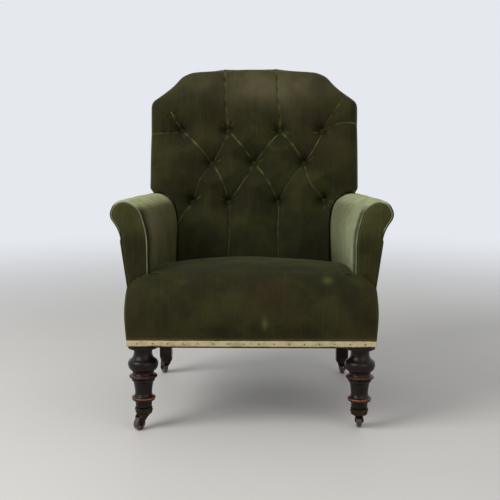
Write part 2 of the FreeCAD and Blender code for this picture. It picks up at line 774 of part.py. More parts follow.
def castor(name, sign, end, heading):
    """Cup on the leg, fork with its spindle riveted through the cup, axle and wheel."""
    x = sign * (leg_x if end == "front" else rear_foot_x)
    y = leg_y if end == "front" else rear_foot_y
    foot = dim("front_foot_radius") if end == "front" else dim("rear_foot_radius")
    turn = Rotation(Vector(0, 0, 1), heading)
    trail = dim("castor_trail")
    spindle = dim("spindle_diameter") / 2
    cup_profile = [
        (spindle + dim("running_gap"), cup_underside),
        (foot + dim("cup_wall") - 2, cup_underside),
        (foot + dim("cup_wall"), cup_floor_top - 0.5),
        (foot + dim("cup_wall"), cup_rim - 2),
        (foot + dim("cup_wall") + 0.8, cup_rim - 1.6),
        (foot + dim("cup_wall") + 0.8, cup_rim),
        (foot + dim("glue_gap"), cup_rim),
        (foot + dim("glue_gap"), cup_floor_top),
        (spindle + dim("running_gap"), cup_floor_top),
    ]
    cup = turned(name + "_cup_turning", cup_profile)
    place(cup, x, y, 0)
    holes = group(name + "_cup_holes", *screw_holes[name])
    keep(name + "_castor_cup", cut(name + "_cup_drilled", cup, holes))

    crown_top = crown_underside + dim("fork_crown")
    head_top = foot_end - gap
    axle_z = castor_axle_z
    cheek_corners = [
        (-10, crown_top),
        (-10, crown_underside - 1),
        (0, crown_underside - 7),
        (trail - 7.5, axle_z + 2),
        (trail - 5, axle_z - 4.5),
        (trail, axle_z - 6.5),
        (trail + 5, axle_z - 4),
        (trail + 6.5, axle_z + 3),
        (trail + 4, crown_underside),
        (trail + 1, crown_top),
    ]
    cheeks = []
    for number, edge in enumerate((1, -1)):
        cheek = padded_sketch(f"{name}_cheek_{number}", "XZ_Plane", cheek_corners, dim("fork_wall"), True)
        offset = (axle_reach - dim("fork_wall") / 2) * edge
        place(cheek, 0, offset, 0)
        cheeks.append(cheek)
    crown = box(
        name + "_crown",
        (as_size(-10), -axle_reach, crown_underside),
        (trail + 1, axle_reach, crown_top),
    )
    pin = rod(name + "_spindle", (0, 0, crown_underside + 1), spindle, head_top - crown_underside - 1)
    head_foot = cup_floor_top + gap
    head = rod(name + "_rivet", (0, 0, head_foot), spindle + 3, head_top - head_foot)
    collar = rod(name + "_collar", (0, 0, crown_top - 1), foot - 5, as_size(1))
    blank = fused(name + "_fork_blank", crown, *cheeks, pin, head, collar)
    bore_radius = dim("axle_diameter") / 2 + dim("glue_gap")
    bore_start = (trail, -axle_reach - 5, axle_z)
    bore = rod(name + "_axle_bore", bore_start, bore_radius, axle_reach * 2 + 10, FRONT_TO_BACK)
    fork = cut(name + "_fork_drilled", blank, bore)
    fork.Placement = Placement(Vector(0, 0, 0), turn)
    bind(fork, "Placement.Base.x", x)
    bind(fork, "Placement.Base.y", y)
    keep(name + "_castor_fork", fork)

    axle_radius = dim("axle_diameter") / 2
    shaft_start = (trail, -axle_reach, axle_z)
    shaft = rod(name + "_shaft", shaft_start, axle_radius, axle_reach * 2, FRONT_TO_BACK)
    caps = []
    for number, start in enumerate((axle_reach, -axle_reach - 1.4)):
        spot = (trail, start, axle_z)
        caps.append(rod(f"{name}_cap_{number}", spot, axle_radius + 1.8, as_size(1.4), FRONT_TO_BACK))
    axle = fused(name + "_axle_piece", shaft, *caps)
    axle.Placement = Placement(Vector(0, 0, 0), turn)
    bind(axle, "Placement.Base.x", x)
    bind(axle, "Placement.Base.y", y)
    keep(name + "_castor_axle", axle)

    bore_edge = dim("axle_diameter") / 2 + dim("running_gap")
    tread = dim("wheel_diameter") / 2
    half_width = dim("wheel_width") / 2
    wheel_profile = [
        (bore_edge, -half_width - 0.2),
        (bore_edge + 3.4, -half_width - 0.2),
        (bore_edge + 4.2, 1.4 - half_width),
        (tread - 4.5, 1.4 - half_width),
        (tread - 3.0, -half_width),
        (tread - 1.2, 0.6 - half_width),
        (tread, 2.6 - half_width),
        (tread, half_width - 2.6),
        (tread - 1.2, half_width - 0.6),
        (tread - 3.0, half_width),
        (tread - 4.5, half_width - 1.4),
        (bore_edge + 4.2, half_width - 1.4),
        (bore_edge + 3.4, half_width + 0.2),
        (bore_edge, half_width + 0.2),
    ]
    wheel = turned(name + "_wheel_turning", wheel_profile)
    wheel.Placement = Placement(Vector(0, 0, 0), turn.multiply(FRONT_TO_BACK))
    spread = math.radians(heading)
    bind(wheel, "Placement.Base.x", x + trail * round(math.cos(spread), 9))
    bind(wheel, "Placement.Base.y", y + trail * round(math.sin(spread), 9))
    bind(wheel, "Placement.Base.z", axle_z)
    keep(name + "_castor_wheel", wheel)


screw_holes = {}


def castor_screws():
    """Two screws through the side of each cup into the foot, with the holes that they need."""
    screws = []
    radius = dim("screw_diameter") / 2
    for name, sign, end, heading in CASTORS:
        x = sign * (leg_x if end == "front" else rear_foot_x)
        y = leg_y if end == "front" else rear_foot_y
        foot = dim("front_foot_radius") if end == "front" else dim("rear_foot_radius")
        outer = foot + dim("cup_wall")
        leg = f"{'left' if sign > 0 else 'right'}_{'front_leg' if end == 'front' else 'back_post'}"
        holes = []
        for number, way in enumerate((1, -1)):
            across = Rotation(Vector(0, 0, 1), Vector(way, 0, 0))
            tip = (x + way * (foot - 9), y, screw_height)
            seat = (x + way * (outer + 0.3), y, screw_height)
            shank = rod(f"{name}_screw_{number}", tip, radius, outer + 0.3 - foot + 9, across)
            head = rod(f"{name}_head_{number}", seat, radius + 1.3, as_size(1.2), across)
            screws.append(fused(f"{name}_whole_screw_{number}", shank, head))
            start = (x + way * (foot - 10), y, screw_height)
            hole_radius = radius + dim("glue_gap")
            holes.append(rod(f"{name}_hole_{number}", start, hole_radius, as_size(20), across))
        screw_holes[name] = holes
        drilled.setdefault(leg, []).extend(holes)
    return keep("castor_screws", group("castor_screw_group", *screws))


# The wooden frame, drilled for its dowels.
blanks = {}
for part_of_frame in (seat_frame, back_posts, front_legs, back_rails, arm_frame):
    blanks.update(part_of_frame())
castor_screws()
for blank_name, blank in blanks.items():
    finish_drilled(blank_name, blank)
keep("frame_dowels", group("frame_dowel_group", *dowels))
corner_blocks()
for castor_values in CASTORS:
    castor(*castor_values)
doc.recompute()
frame_shapes = {name: item.Shape.copy() for name, item in blanks.items()}


# Shared boundaries of the upholstery.
cover = dim("cover_thickness").value
clear = gap.value
front_y = front_plane.value
post_y = post_front.value
skirt_foot = rail_underside.value + 2
arm_foot = dim("arm_foot").value
seat_tail = dim("seat_rear").value
seat_lip = 6.0
wing_rear = facing_front.value - clear
side_rail_middle = dim("rail_thickness").value / 2
ROOM = 420.0


def behind_back():
    """Everything behind the back posts' rear faces."""
    top = raked_point(0, 720, -back_frame.value)
    bend = (post_rear.value, bend_z.value)
    outline = [(post_rear.value, 20), (ROOM * 2, 20), (ROOM * 2, top.z), (top.y, top.z), bend]
    return side_prism(outline, -ROOM, ROOM)


# The seat: a crowned cushion, T-shaped in front of the arms, whose skirt comes down over the rails.
seat_half = half_front.value + seat_lip


def seat_outline(x, inset, opened):
    """Control polygon (back, up) of the seat at a place across it. opened lowers its foot and
    lengthens its tail, so that a cover cut with it stays open there."""
    share = abs(x) / seat_half
    drop = 12.0 * share ** 2 + 38.0 * max(share - 0.8, 0.0) ** 2 / 0.04
    draw_in = 5.0 * share ** 2 + 7.0 * max(share - 0.9, 0.0) / 0.1
    crown = dim("seat_crown").value - drop
    tail = min(seat_tail, crown - 12)
    bulge = dim("seat_bulge").value - draw_in
    points = [
        (front_y - seat_lip, skirt_foot - opened - inset),
        (post_y + dim("rail_thickness").value + opened + inset, skirt_foot - opened - inset),
        (post_y + dim("rail_thickness").value + opened + inset, tail),
        (76, tail),
        (20, crown - 8),
        (-140, crown + 3),
        (front_y + 12, crown - 5),
        (front_y - bulge - 1, crown - 48),
        (front_y - bulge + 2, skirt_foot + 62),
        (front_y - seat_lip, skirt_foot + 28),
    ]
    return inset_polygon(points, inset)


def seat_form(inset, opened=0.0):
    """The whole seat as one solid, lofted across the chair."""
    stations = (-1.0, -0.97, -0.88, -0.66, -0.34, 0.0, 0.34, 0.66, 0.88, 0.97, 1.0)
    wires = []
    for station in stations:
        x = station * (seat_half - inset)
        outline = seat_outline(station * seat_half, inset, opened)
        wires.append(rounded_wire(outline, lambda y, z, x=x: Vector(x, y, z), sharp=(0, 1, 2, 3)))
    return Part.makeLoft(wires, True, False)


def room_of_facings():
    """The slots that the feet of the arm facings stand in, between the seat and the arm posts."""
    depth = arm_front.value - wing_rear
    inner = arm_inner_face(wing_rear) - clear
    corner = Vector(inner, wing_rear, rail_top.value)
    slot = Part.makeBox(ROOM, depth, arm_foot - rail_top.value, corner)
    return [slot, mirrored(slot)]


def room_of_arms():
    """What the seat leaves to the arms and the frame: beside and behind the front of the seat."""
    tools = []
    inner_front = arm_inner_face(wing_rear) - clear
    inner_back = dim("arm_inside_back").value - clear
    rail_front = half_front.value - side_rail_middle
    rail_back = half_back.value - side_rail_middle
    for sign in (1, -1):
        above = [
            (inner_front, wing_rear),
            (ROOM, wing_rear),
            (ROOM, ROOM),
            (inner_back, ROOM),
            (inner_back, post_y),
        ]
        beside = [
            (rail_front, wing_rear),
            (ROOM, wing_rear),
            (ROOM, ROOM),
            (rail_back, ROOM),
            (rail_back, post_y),
            (rail_front, block_rear.value),
        ]
        tools.append(on_side(prism(above, arm_foot - clear, ROOM * 2), sign))
        tools.append(on_side(prism(beside, rail_top.value, arm_foot - clear), sign))
    behind_facing = arm_front.value - clear
    low = Part.makeBox(ROOM * 2, ROOM * 2, rail_top.value, Vector(-ROOM, behind_facing, 0))
    between = (half_front - block).value
    inside = Part.makeBox(between * 2, 60, rail_top.value, Vector(-between, rail_inner_front.value, 0))
    tools.extend([low, inside])
    return tools


def spring_tent(shrink):
    """The hessian over the springs: flat on top, and down to the middle of the rails all round."""
    front = front_y + dim("rail_thickness").value / 2 + shrink
    rear = post_y + dim("rail_thickness").value / 2 - shrink
    across_front = half_front.value - side_rail_middle - shrink
    across_back = half_back.value - side_rail_middle - shrink
    reach_x = dim("spring_pitch_across").value + dim("spring_radius").value + 4 - shrink
    reach_y = dim("spring_pitch_along").value + dim("spring_radius").value + 4 - shrink
    row = dim("spring_row").value
    top = dim("spring_top").value + dim("hessian_thickness").value - shrink
    foot = rail_top.value - (1 if shrink else 0)
    lower = [
        Vector(-across_front, front, foot),
        Vector(across_front, front, foot),
        Vector(across_back, rear, foot),
        Vector(-across_back, rear, foot),
    ]
    upper = [
        Vector(-reach_x, row - reach_y, top),
        Vector(reach_x, row - reach_y, top),
        Vector(reach_x, row + reach_y, top),
        Vector(-reach_x, row + reach_y, top),
    ]
    wires = [Part.makePolygon(points + points[:1]) for points in (lower, upper)]
    return Part.makeLoft(wires, True, True)


def frame_for(*names):
    return [frame_shapes[name] for name in names]


SEAT_NEIGHBOURS = (
    "front_seat_rail",
    "back_seat_rail",
    "left_seat_rail",
    "right_seat_rail",
    "left_front_leg",
    "right_front_leg",
    "left_back_post",
    "right_back_post",
    "left_arm_post",
    "right_arm_post",
)


def seat_upholstery():
    tools = room_of_arms() + room_of_facings()
    tent = spring_tent(0)
    frame = frame_for(*SEAT_NEIGHBOURS)
    whole = seat_form(0)
    skin = whole.cut([seat_form(cover, 6.0)] + tools + frame)
    keep("seat_cover", feature("seat_cover_shape", skin))
    filling = seat_form(cover + clear).cut(tools + [tent] + frame)
    keep("seat_stuffing", feature("seat_stuffing_shape", filling))
    posts = frame_for("left_arm_post", "right_arm_post", "left_back_post", "right_back_post")
    hessian = tent.cut([spring_tent(dim("hessian_thickness").value)] + posts + room_of_facings())
    keep("spring_hessian", feature("spring_hessian_shape", hessian))


def tangent_arc(start, corner, end):
    """The arc from start to end whose tangents meet at the corner, as far from one as from the other."""
    middle = (start + end) * 0.5
    half_chord = (end - start).Length / 2
    reach = corner - middle
    radius = (corner - start).Length * half_chord / reach.Length
    sag = radius - math.sqrt(radius * radius - half_chord * half_chord)
    return Part.Arc(start, middle + reach * (sag / reach.Length), end).toShape()


def coil_spring(radius, wire, height, turns):
    """A round wire wound up a cylinder: each half turn of the helix is two arcs that run on smoothly."""
    rise = height / turns / (2 * math.pi)

    def helix(turn):
        angle = 2 * math.pi * turn
        across = math.cos(angle)
        along = math.sin(angle)
        heading = Vector(-radius * along, radius * across, rise).normalize()
        return Vector(radius * across, radius * along, rise * angle), heading

    arcs = []
    for half in range(round(turns * 2)):
        start, start_heading = helix(half / 2)
        end, end_heading = helix((half + 1) / 2)
        chord = end - start
        headings = start_heading + end_heading
        square = 4 - headings.dot(headings)
        slope = chord.dot(headings)
        leg = (math.sqrt(slope * slope + square * chord.dot(chord)) - slope) / square
        first = start + start_heading * leg
        second = end - end_heading * leg
        joint = (first + second) * 0.5
        arcs.append(tangent_arc(start, first, joint))
        arcs.append(tangent_arc(joint, second, end))
    start, start_heading = helix(0)
    profile = Part.Wire(Part.makeCircle(wire, start, start_heading))
    return Part.Wire(arcs).makePipeShell([profile], True, False)


def seat_webbing_and_springs():
    pitch_x = dim("spring_pitch_across")
    pitch_y = dim("spring_pitch_along")
    row = dim("spring_row")
    half_strap = dim("strap_width") / 2
    strap = dim("strap_thickness")
    straps = []
    for number in (-1, 0, 1):
        low = (pitch_x * number - half_strap, front_plane + 6, rail_underside - strap)
        high = (pitch_x * number + half_strap, post_front + dim("rail_thickness") - 6, rail_underside)
        straps.append(box(f"strap_along_{number + 1}", low, high))
        reach = half_back - 8
        low = (-reach, row + pitch_y * number - half_strap, rail_underside - strap * 2)
        high = (reach, row + pitch_y * number + half_strap, rail_underside - strap)
        straps.append(box(f"strap_across_{number + 1}", low, high))
    keep("seat_webbing", group("seat_strap_group", *straps))
    wire = dim("spring_wire").value / 2
    foot = rail_underside.value + wire
    height = dim("spring_top").value - wire - foot
    coil = coil_spring(dim("spring_radius").value, wire, height, dim("spring_coils").value)
    coils = []
    for across in (-1, 0, 1):
        for along in (-1, 0, 1):
            spot = Vector(pitch_x.value * across, row.value + pitch_y.value * along, foot)
            turn = coil.copy()
            turn.Placement = Placement(spot, UPRIGHT)
            coils.append(turn)
    keep("seat_springs", feature("seat_spring_group", Part.makeCompound(coils)))


def dust_cover():
    inner = half_front - block - 8
    wide = half_front - 10
    wide_back = half_back - 10
    corners = [
        (-inner, front_plane + 8),
        (inner, front_plane + 8),
        (inner, block_rear + 8),
        (wide, block_rear + 8),
        (wide_back, post_front - 8),
        (post_inner - 8, post_front - 8),
        (post_inner - 8, post_front + dim("rail_thickness") - 4),
        (-post_inner + 8, post_front + dim("rail_thickness") - 4),
        (-post_inner + 8, post_front - 8),
        (-wide_back, post_front - 8),
        (-wide, block_rear + 8),
        (-inner, block_rear + 8),
    ]
    cloth = padded_sketch("dust_cloth", "XY_Plane", corners, dim("hessian_thickness"))
    place(cloth, 0, 0, rail_underside - dim("strap_thickness") * 2 - dim("hessian_thickness"))
    keep("dust_cover", cloth)


# The arms: a hollow frame, stuffed over its rail and down its inner side.
def arm_upholstery():
    arm_pieces = ("left_arm_post", "left_arm_rail", "left_arm_stuffing_rail")
    frame = frame_for(*arm_pieces, "left_back_post", "back_crest_rail")
    inner = arm_frame_inner.value
    rail_foot = (dim("arm_height") - dim("arm_rail_cover") - dim("arm_fall") - dim("arm_rail_height")).value
    tack_line = rail_foot - 20
    hollow = Part.makeBox(ROOM, ROOM * 2, tack_line, Vector(inner, arm_front.value - 10, 0))
    back_space = raked_block((0, -120, -90), (half_back.value, 720, dim("back_web_depth").value))
    behind = behind_back()
    whole = arm_form(arm_foot, 0).cut([hollow, back_space, behind])
    inner_form = arm_form(arm_foot - 4, cover, 1.0)
    skin = whole.cut([inner_form] + frame)
    filling = arm_form(arm_foot, cover + clear).cut([hollow, back_space, behind] + frame)
    for side, sign in SIDES:
        keep(f"{side}_inside_arm_cover", feature(f"{side}_arm_cover_shape", on_side(skin, sign)))
        keep(f"{side}_arm_stuffing", feature(f"{side}_arm_stuffing_shape", on_side(filling, sign)))


def outside_arm_panels():
    """Padded panels from the bottom of the rails up to the hollow under the scroll."""
    thickness = dim("panel_thickness").value
    foot = skirt_foot
    stations = (arm_front.value, block_rear.value, post_y, post_y + 150)
    wires = []
    for y in stations:
        side = frame_side(y) + clear
        neck_z = arm_top(y) - neck_drop
        top_z = neck_z - 22
        lean = (arm_outer(y) - neck_set_in - frame_side(y)) / (neck_z - rail_top.value)
        top_x = side + lean * (top_z - rail_top.value)
        corners = [
            Vector(side, y, foot),
            Vector(side + thickness, y, foot),
            Vector(side + thickness, y, rail_top.value),
            Vector(top_x + thickness, y, top_z),
            Vector(top_x, y, top_z),
            Vector(side, y, rail_top.value),
        ]
        wires.append(Part.makePolygon(corners + corners[:1]))
    panel = Part.makeLoft(wires, True, True).cut([behind_back()])
    for side, sign in SIDES:
        keep(f"{side}_outside_arm_panel", feature(f"{side}_panel_shape", on_side(panel, sign)))


def arm_facings():
    """Padded boards on the fronts of the arms, each in a ring of covered cord."""
    margin = dim("facing_margin").value
    foot = rail_top.value + clear
    outline = arm_outline(arm_front.value, foot, margin)
    front = facing_front.value
    wire = rounded_wire(outline, lambda x, z: Vector(x, front, z), sharp=(0, 1))
    facing = Part.Face(wire).extrude(Vector(0, dim("facing_thickness").value, 0))
    cord = dim("piping_diameter").value / 2
    path_margin = margin - cord - 0.2
    path_y = front + cord + 0.2
    path_foot = foot + cord + 34
    path_outline = arm_outline(arm_front.value, path_foot, path_margin)
    ring = rounded_wire(path_outline, lambda x, z: Vector(x, path_y, z), sharp=(0, 1))
    # The ring's first two straight sides are left out, so the cord starts and ends at the seat.
    edges = ring.Edges
    open_edges = edges[2:] + edges[:1]
    path = Part.Wire(open_edges)
    start = path.OrderedVertexes[0].Point
    direction = path.OrderedEdges[0].tangentAt(path.OrderedEdges[0].FirstParameter)
    circle = Part.Wire(Part.makeCircle(cord, start, direction))
    piping = path.makePipeShell([circle], True, False)
    for side, sign in SIDES:
        keep(f"{side}_arm_facing", feature(f"{side}_facing_shape", on_side(facing, sign)))
        keep(f"{side}_arm_piping", feature(f"{side}_piping_shape", on_side(piping, sign)))


# The back. Buttons stand at (across, up the rake), and pleats run between them and to the edges.
BUTTONS = {
    "a1": (-218.0, 448.0),
    "a2": (-79.0, 448.0),
    "a3": (79.0, 448.0),
    "a4": (204.0, 448.0),
    "b1": (-126.0, 349.0),
    "b2": (0.0, 349.0),
    "b3": (150.0, 349.0),
    "c1": (-183.0, 232.0),
    "c2": (-75.0, 232.0),
    "c3": (72.0, 232.0),
    "c4": (210.0, 236.0),
}
PLEATS = (
    ("a1", "b1"),
    ("a2", "b1"),
    ("a2", "b2"),
    ("a3", "b2"),
    ("a3", "b3"),
    ("a4", "b3"),
    ("b1", "c1"),
    ("b1", "c2"),
    ("b2", "c2"),
    ("b2", "c3"),
    ("b3", "c3"),
    ("b3", "c4"),
)
# Pleats that run off the buttoned field: the button, and where the pleat ends.
EDGE_PLEATS = (
    ("a1", (-330.0, 436.0)),
    ("a1", (-285.0, 560.0)),
    ("a2", (-88.0, 660.0)),
    ("a3", (70.0, 660.0)),
    ("a4", (285.0, 560.0)),
    ("a4", (330.0, 452.0)),
    ("c1", (-244.0, 120.0)),
    ("c2", (-76.0, 20.0)),
    ("c3", (76.0, 20.0)),
    ("c4", (262.0, 130.0)),
)
back_low = -40.0
stuffing_gap = 0.95
stuffing_edge_gap = 0.6


def back_outline(inset, foot):
    """Control polygon (across, up the rake) of the back with its rounded, shouldered top."""
    width = dim("back_half_width").value
    top = dim("back_length").value
    half = [
        (width, foot),
        (width, top - 114),
        (width - 48, top - 80),
        (width - 73, top - 28),
        (width - 120, top - 6),
    ]
    other = [(-x, along) for x, along in reversed(half)]
    across = (width - inset) / width
    upwards = (top - inset - foot) / (top - foot)
    return [(x * across, foot + (along - foot) * upwards) for x, along in half + [(0, top + 1)] + other]


def back_form(inset, behind=0.0, aside=0.0):
    """The stuffed back before it is buttoned: square sides, a rolled edge and a gentle crown.
    behind lengthens it to the rear, so that a cover cut with it stays open there.
    aside draws its outline in further than its crown."""
    depth = dim("back_padding").value
    rear = -back_frame.value - behind
    sections = (
        (rear, 0.0),
        (depth * 0.32, 0.0),
        (depth * 0.62, 4.0),
        (depth * 0.82, 16.0),
        (depth * 0.94, 38.0),
        (depth, 92.0),
    )
    wires = []
    for proud, drawn_in in sections:
        level = proud - (inset if proud > 0 else 0)
        outline = back_outline(inset + aside + drawn_in, back_low)
        wires.append(
            rounded_wire(outline, lambda x, along, level=level: raked_point(x, along, level), sharp=(0, 10))
        )
    return Part.makeLoft(wires, True, False)


def dimple(x, along, surface, depth, floor_radius, rim_radius):
    """What a button pulls in: a bowl with a flat floor and a rounded rim."""
    lip = 10.0
    centre_share = 0.36
    floor = Vector(floor_radius, 0, -depth)
    rim = Vector(rim_radius, 0, lip)
    corner = Vector(floor_radius, 0, lip)
    middle = corner + (floor - corner) * centre_share + (rim - corner) * centre_share
    edges = [
        Part.LineSegment(Vector(0, 0, -depth), floor).toShape(),
        Part.Arc(floor, middle, rim).toShape(),
        Part.LineSegment(rim, Vector(0, 0, lip)).toShape(),
        Part.LineSegment(Vector(0, 0, lip), Vector(0, 0, -depth)).toShape(),
    ]
    bowl = Part.Face(Part.Wire(edges)).revolve(Vector(0, 0, 0), Vector(0, 0, 1), 360)
    bowl.Placement = Placement(raked_point(x, along, surface), outward)
    return bowl


outward = RAKED.multiply(Rotation(Vector(0, 0, 1), Vector(0, -1, 0)))


def pleat(start, end, surface, depths, widths):
    """The fold between two points of the back: two rounded flanks that meet at its bottom."""
    lip = 10.0
    centre_share = 0.36
    first = Vector(*start, 0)
    last = Vector(*end, 0)
    run = last - first
    square = Vector(-run.y, run.x, 0).normalize()
    wires = []
    for share, depth, width in zip((0.0, 0.5, 1.0), depths, widths):
        spot = first + run * share

        def at(aside, height):
            here = spot + square * aside
            return raked_point(here.x, here.y, surface + height)

        shoulder = centre_share * width
        level = lip - centre_share * (depth + lip)
        edges = [
            Part.LineSegment(at(-width, lip), at(width, lip)).toShape(),
            Part.Arc(at(width, lip), at(shoulder, level), at(0, -depth)).toShape(),
            Part.Arc(at(0, -depth), at(-shoulder, level), at(-width, lip)).toShape(),
        ]
        wires.append(Part.Wire(edges))
    return Part.makeLoft(wires, True, True)


def tufting(surface, spread=0.0):
    """Everything that the buttons and pleats take out of the back, below a given surface.
    spread widens every cut, and deepens the pleats, so that a form cut with it stays clear."""
    deep = dim("tuft_depth").value
    deeper = 3 * spread
    shallow = dim("pleat_depth").value + deeper
    wide = dim("pleat_width").value / 2 + 2 * spread
    button = dim("button_diameter").value / 2 + spread
    end_depth = deep - 8 + deeper
    tools = []
    for first, second in PLEATS:
        depths = (end_depth, shallow, end_depth)
        tools.append(pleat(BUTTONS[first], BUTTONS[second], surface, depths, (wide, wide * 0.8, wide)))
    for first, end in EDGE_PLEATS:
        depths = (end_depth, shallow + 4, shallow + 2)
        tools.append(pleat(BUTTONS[first], end, surface, depths, (wide, wide * 0.8, wide * 0.7)))
    for x, along in BUTTONS.values():
        tools.append(dimple(x, along, surface, deep, button + 1.5, wide + 8))
    return tools


def button_solid():
    """A covered button: flat behind and domed in front."""
    radius = dim("button_diameter").value / 2
    height = dim("button_thickness").value
    edge = height * 0.35
    tip = radius * 0.12
    rim = Vector(radius, 0, edge)
    middle = Vector(radius * 0.65, 0, edge + (height - edge) * 0.72)
    edges = [
        Part.LineSegment(Vector(0, 0, 0), Vector(radius, 0, 0)).toShape(),
        Part.LineSegment(Vector(radius, 0, 0), rim).toShape(),
        Part.Arc(rim, middle, Vector(tip, 0, height)).toShape(),
        Part.LineSegment(Vector(tip, 0, height), Vector(0, 0, height)).toShape(),
        Part.LineSegment(Vector(0, 0, height), Vector(0, 0, 0)).toShape(),
    ]
    return Part.Face(Part.Wire(edges)).revolve(Vector(0, 0, 0), Vector(0, 0, 1), 360)


def clear_of(shape, tools):
    """The shape with each tool taken out in turn."""
    for tool in tools:
        shape = shape.cut(tool)
    return shape


def back_upholstery():
    depth = dim("back_padding").value
    seat_line = Part.makeBox(ROOM * 2, ROOM * 2, seat_tail + clear, Vector(-ROOM, -ROOM, 0))
    arm_room = arm_form(arm_foot - 60, -clear, upright=True)
    arm_rooms = [arm_room, mirrored(arm_room)]
    web = dim("back_web_depth").value
    opening = raked_block((-post_inner.value, -100, -90), (post_inner.value, crest_foot.value, web))
    webbed_half = arm_frame_inner.value - 0.5
    webbed = raked_block((-webbed_half, -100, 0), (webbed_half, crest_foot.value + 26, web))
    frame = frame_for("left_back_post", "right_back_post", "back_crest_rail", "back_stuffing_rail")
    tools = [seat_line] + arm_rooms + [opening, webbed] + frame
    floor_level = depth - dim("tuft_depth").value
    twine = 0.8
    twine_length = floor_level + 5
    twine_shapes = []
    holes = []
    buttons = []
    for x, along in BUTTONS.values():
        start = raked_point(x, along, -5)
        direction = raked_point(x, along, 1) - raked_point(x, along, 0)
        twine_shapes.append(Part.makeCylinder(twine, twine_length, start, direction))
        holes.append(Part.makeCylinder(twine + 0.4, twine_length, start, direction))
        covered = button_solid()
        covered.Placement = Placement(raked_point(x, along, floor_level), outward)
        buttons.append(covered)
    inner_form = back_form(cover, 1.0).cut(tufting(depth - cover))
    skin = clear_of(back_form(0), tools).cut(tufting(depth)).cut([inner_form])
    inside = cover + stuffing_gap
    inside_form = back_form(inside, aside=stuffing_edge_gap)
    filling = clear_of(inside_form, tools).cut(tufting(depth - inside, stuffing_gap))
    filling = filling.cut(holes)
    skin = skin.cut(holes)
    keep("inside_back_cover", feature("inside_back_shape", skin))
    keep("back_stuffing", feature("back_stuffing_shape", filling))
    keep("back_buttons", feature("back_button_group", Part.makeCompound(buttons)))
    keep("button_twines", feature("button_twine_group", Part.makeCompound(twine_shapes)))
    strap = dim("strap_thickness").value
    half_strap = dim("strap_width").value / 2
    reach = webbed_half - 1
    foot = dim("stuffing_rail_foot").value + 6
    top = crest_foot.value + 24
    straps = []
    for number in range(4):
        x = (number - 1.5) * 2 * post_inner.value / 4.6
        straps.append(raked_block((x - half_strap, foot, 0), (x + half_strap, top, strap)).cut(holes))
    for number in range(3):
        along = foot + (top - foot) * (number + 1) / 4
        low = (-reach, along - half_strap, strap)
        straps.append(raked_block(low, (reach, along + half_strap, strap * 2)).cut(holes))
    keep("back_webbing", feature("back_strap_group", Part.makeCompound(straps)))
    cloth = dim("hessian_thickness").value
    sheet_shape = raked_block((-reach, foot, strap * 2), (reach, top, strap * 2 + cloth)).cut(holes)
    keep("back_hessian", feature("back_hessian_shape", sheet_shape))


def outside_back():
    """The plain panel behind the posts: upright at the bottom and raked above the bend."""
    thickness = dim("outback_thickness").value
    top = raked_point(0, 700, -back_frame.value)
    top_out = raked_point(0, 700, -back_frame.value - thickness)
    bend_rise_out = thickness * math.tan(math.radians(dim("back_rake").value / 2))
    bend = (post_rear.value, bend_z.value)
    bend_out = (post_rear.value + thickness, bend_z.value - bend_rise_out)
    outline = [
        (post_rear.value, skirt_foot),
        (post_rear.value + thickness, skirt_foot),
        bend_out,
        (top_out.y, top_out.z),
        (top.y, top.z),
        bend,
    ]
    plate = side_prism(outline, -ROOM, ROOM)
    corners = back_outline(2.0, 150.0)
    lower = half_back.value + dim("panel_thickness").value
    skirted = [(lower, -90.0), (lower, 60.0)] + corners + [(-lower, 60.0), (-lower, -90.0)]
    last = len(skirted) - 1
    sharp = (0, 1, 2, last - 2, last - 1, last)
    wire = rounded_wire(skirted, lambda x, along: raked_point(x, along, -90), sharp=sharp)
    normal = raked_point(0, 0, 1) - raked_point(0, 0, 0)
    mould = Part.Face(wire).extrude(normal * 80)
    keep("outside_back_panel", feature("outside_back_shape", plate.common(mould)))


# The trim round the base.
def base_trim():
    """Linen tape over the lower edge of the covers, with a tack at even steps."""
    low = rail_underside.value + 1
    high = low + dim("tape_height").value
    thickness = dim("tape_thickness").value

    def ring(out):
        side = seat_lip + clear + out
        front = front_y - seat_lip - clear - out
        rear = post_rear.value + dim("outback_thickness").value + clear + out
        right = [
            (half_front.value + side, front),
            (half_front.value + side, block_rear.value),
            (half_back.value + side, post_y),
            (half_back.value + side, rear),
        ]
        return right + [(-x, y) for x, y in reversed(right)]

    outer_ring = ring(thickness)
    tape = prism(outer_ring, low, high).cut(prism(ring(0), low - 1, high + 1))
    heads = []
    radius = dim("tack_radius").value
    level = (low + high) / 2
    spots = []
    front = outer_ring[0]
    steps = int(2 * front[0] / dim("tack_pitch").value)
    for number in range(steps):
        x = (number - (steps - 1) / 2) * dim("tack_pitch").value
        spots.append((Vector(x, front[1], level), Vector(0, -1, 0)))
    bend_y = outer_ring[1][1]
    run = outer_ring[2][1] - bend_y
    slope = (outer_ring[2][0] - outer_ring[1][0]) / run
    out = Vector(1, -slope, 0).normalize()
    for number in range(int(run / dim("tack_pitch").value)):
        y = bend_y + (number + 0.5) * dim("tack_pitch").value
        x = outer_ring[1][0] + slope * (y - bend_y)
        spots.append((Vector(x, y, level), out))
        spots.append((Vector(-x, y, level), Vector(-out.x, out.y, 0)))
    bores = []
    for spot, normal in spots:
        inside = spot - normal * thickness
        shank = Part.makeCylinder(0.5, thickness, inside, normal)
        head = Part.makeCylinder(radius, 0.7, spot, normal)
        heads.append(shank.fuse(head))
        bores.append(Part.makeCylinder(0.55, thickness + 2, inside - normal, normal))
    keep("base_tape", feature("base_tape_shape", tape.cut(bores)))
    keep("tape_tacks", feature("tape_tack_group", Part.makeCompound(heads)))


seat_upholstery()
seat_webbing_and_springs()
dust_cover()
arm_upholstery()
outside_arm_panels()
arm_facings()
back_upholstery()
outside_back()
base_trim()


